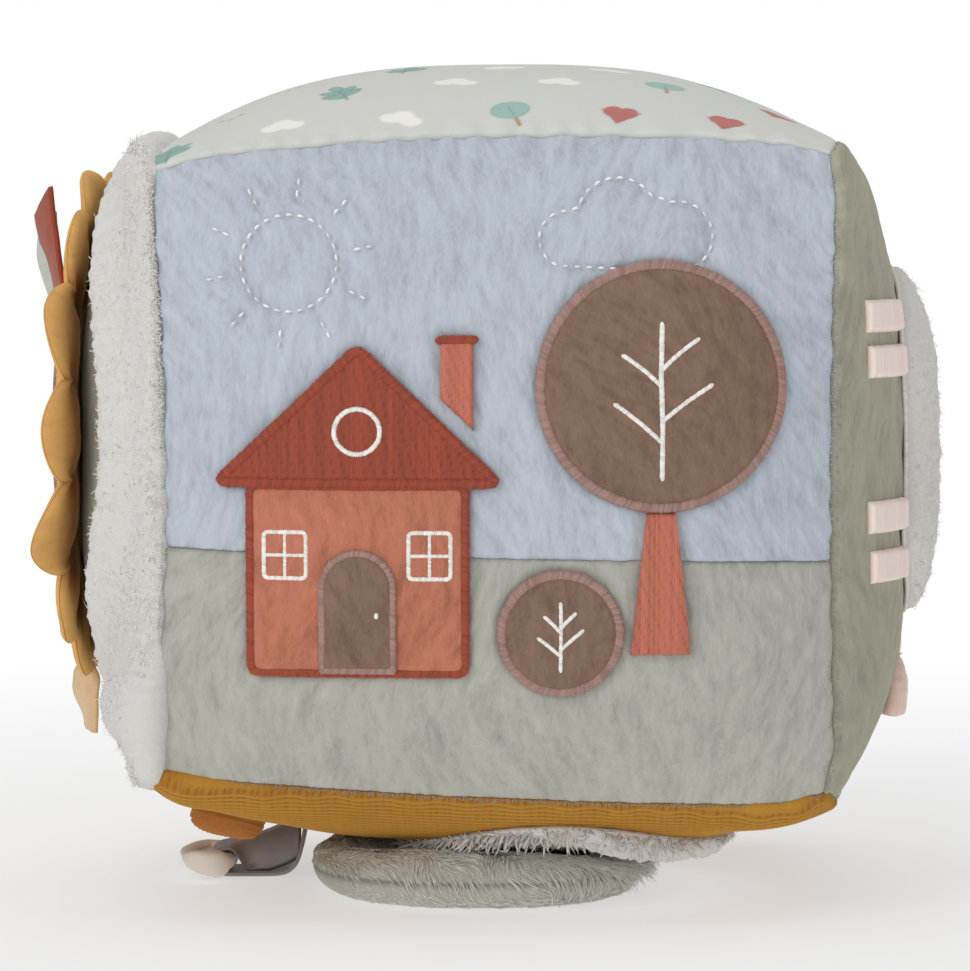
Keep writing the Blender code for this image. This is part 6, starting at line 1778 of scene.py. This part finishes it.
def seam_pile(name, lines, mat, seed, count, length=1.5, radius=0.12, spread=1.6, lean=0.5, slot=None):
    """Short pile standing over a seam. lines are (face, from (a, b), to (a, b), direction over the seam)."""
    rng_ = np.random.default_rng(seed)
    P_, D_, B_ = [], [], []
    for face, (a0, b0), (a1, b1), over in lines:
        t_ = rng_.uniform(0, 1, count)
        k_ = rng_.uniform(0, spread, count)
        over = np.array(over, float)
        ua, va = FACE[face][2], FACE[face][3]
        A_ = a0 + (a1 - a0) * t_ - over[ua] * k_
        B__ = b0 + (b1 - b0) * t_ - over[va] * k_
        p, n = on_face(face, A_, B__, -0.15, with_normal=True)
        P_.append(p)
        D_.append(n * 0.7 + over[None, :] * lean + rng_.normal(size=n.shape) * 0.25)
        B_.append(over[None, :] * 0.5 - n * 0.25 + rng_.normal(size=n.shape) * 0.1)
    return tufts(name, np.concatenate(P_), np.concatenate(D_), np.concatenate(B_), length, radius, mat, segs=3, seed=seed + 1, wiggle=0.15, slot=slot)


def edge_curve(face, side):
    """Middle-bowed seam of a face as short pieces: (from, to) in the face's plane coordinates."""
    axis, sign, ua, va, _ = FACE[face]
    t_ = np.linspace(-0.985, 0.985, 13)
    fixed = {"n": (t_, np.ones_like(t_)), "s": (t_, -np.ones_like(t_)), "e": (np.ones_like(t_), t_), "w": (-np.ones_like(t_), t_)}[side]
    p = surface(face, fixed[0], fixed[1], 0.0)
    q = [(x, y) for x, y in zip(p[:, ua], p[:, va])]
    return list(zip(q[:-1], q[1:]))


def seam_lines(face, side, over, sel=None):
    return [(face, p, q, over) for p, q in edge_curve(face, side) if sel is None or sel(p, q)]


meadow_side = lambda p, q: (p[1] + q[1]) / 2 < -14.5
sky_side = lambda p, q: (p[1] + q[1]) / 2 > -14.5
seam_pile("sherpa_seam_pile", seam_lines("left", "w", (0.6, -0.8, 0)), M["sherpa_fuzz"], 29, 240, length=1.1, radius=0.15, spread=1.1, lean=0.6, slot="white_sherpa")
seam_pile("meadow_seam_pile", seam_lines("front", "s", (0, 0, -1)), M["meadow_fuzz"], 31, 110, length=0.36, radius=0.07, spread=0.6, lean=0.2, slot="meadow_velboa")
seam_pile("meadow_side_pile", seam_lines("front", "e", (1, 0, 0), meadow_side), M["meadow_fuzz"], 32, 40, length=0.55, radius=0.08, slot="meadow_velboa")
seam_pile("sky_seam_pile", seam_lines("front", "e", (1, 0, 0), sky_side), M["sky_fuzz"], 33, 40, length=0.55, radius=0.08, slot="sky_velboa")
seam_pile("right_seam_pile", seam_lines("right", "w", (0, -1, 0)) + seam_lines("right", "e", (0, 1, 0)) + seam_lines("right", "n", (0, 0, 1)) + seam_lines("right", "s", (0, 0, -1)),
          M["sage_fuzz"], 35, 40, length=0.5, radius=0.08, slot="sage_velboa")

# ================================================================ sealed inner parts
def fluffed(node, name, mat_key, seed, depth=0.12, body="block"):
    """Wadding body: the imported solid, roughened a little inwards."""
    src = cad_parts[node].data
    me = src.copy()
    me.name = name
    ob_ = bpy.data.objects.new(name, me)
    scene.collection.objects.link(ob_)
    co = np.zeros(len(me.vertices) * 3)
    me.vertices.foreach_get("co", co)
    co = co.reshape(-1, 3)
    nr = np.zeros(len(me.vertices) * 3)
    me.vertices.foreach_get("normal", nr)
    nr = nr.reshape(-1, 3)
    w_ = 0.5 + 0.5 * noise(co[:, 0] / 0.004 + co[:, 2] / 0.006, co[:, 1] / 0.004 - co[:, 2] / 0.005, seed)
    co = co - nr * (w_ * depth * MM)[:, None]
    me.vertices.foreach_set("co", co.astype(np.float32).ravel())
    me.update()
    me.materials.clear()
    me.materials.append(M[mat_key])
    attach(ob_, body)
    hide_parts(node)
    return ob_


for node, nm_, body_ in (("core_front_half", "stuffing_front_half", "block"), ("core_rear_half", "stuffing_rear_half", "block"),
                         ("flower_wadding", "flower_stuffing", "flower_flap"), ("lamb_wadding", "lamb_stuffing", "block"), ("pad_wadding", "pad_stuffing", "block")):
    fluffed(node, nm_, "wadding", 201, body=body_)

for node, key in (("rattle_shell_front", "capsule"), ("rattle_shell_rear", "capsule"), ("rattle_bead", "bead"), ("squeaker", "squeaker"),
                  ("mirror", "mirror")):
    o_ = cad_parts[node]
    o_.data.materials.clear()
    o_.data.materials.append(M[key])
    o_.data.shade_smooth()

# crinkle film between the petals' layers
fa_ = np.linspace(0, 2 * np.pi, 120, endpoint=False)
fr_ = np.array([1.0, 8.0, 16.0, 24.0, 32.0, 38.0])
FR, FA = np.meshgrid(fr_, fa_, indexing="ij")
crinkle = 0.10 * noise(FR * np.cos(FA) / 2.5, FR * np.sin(FA) / 2.5, 77)
rows = np.concatenate([flap_surface(FR, FA, 4.9 + 0.12 + crinkle), flap_surface(FR, FA, 4.9 - 0.12 + crinkle)[::-1]])
ring_body("flower_crinkle_sheet", rows, M["film"], start=flap_surface(0.0, 0.0, 5.02), end=flap_surface(0.0, 0.0, 4.78), body="flower_flap",
          replaces="flower_crinkle_film", slot="crinkle_film")
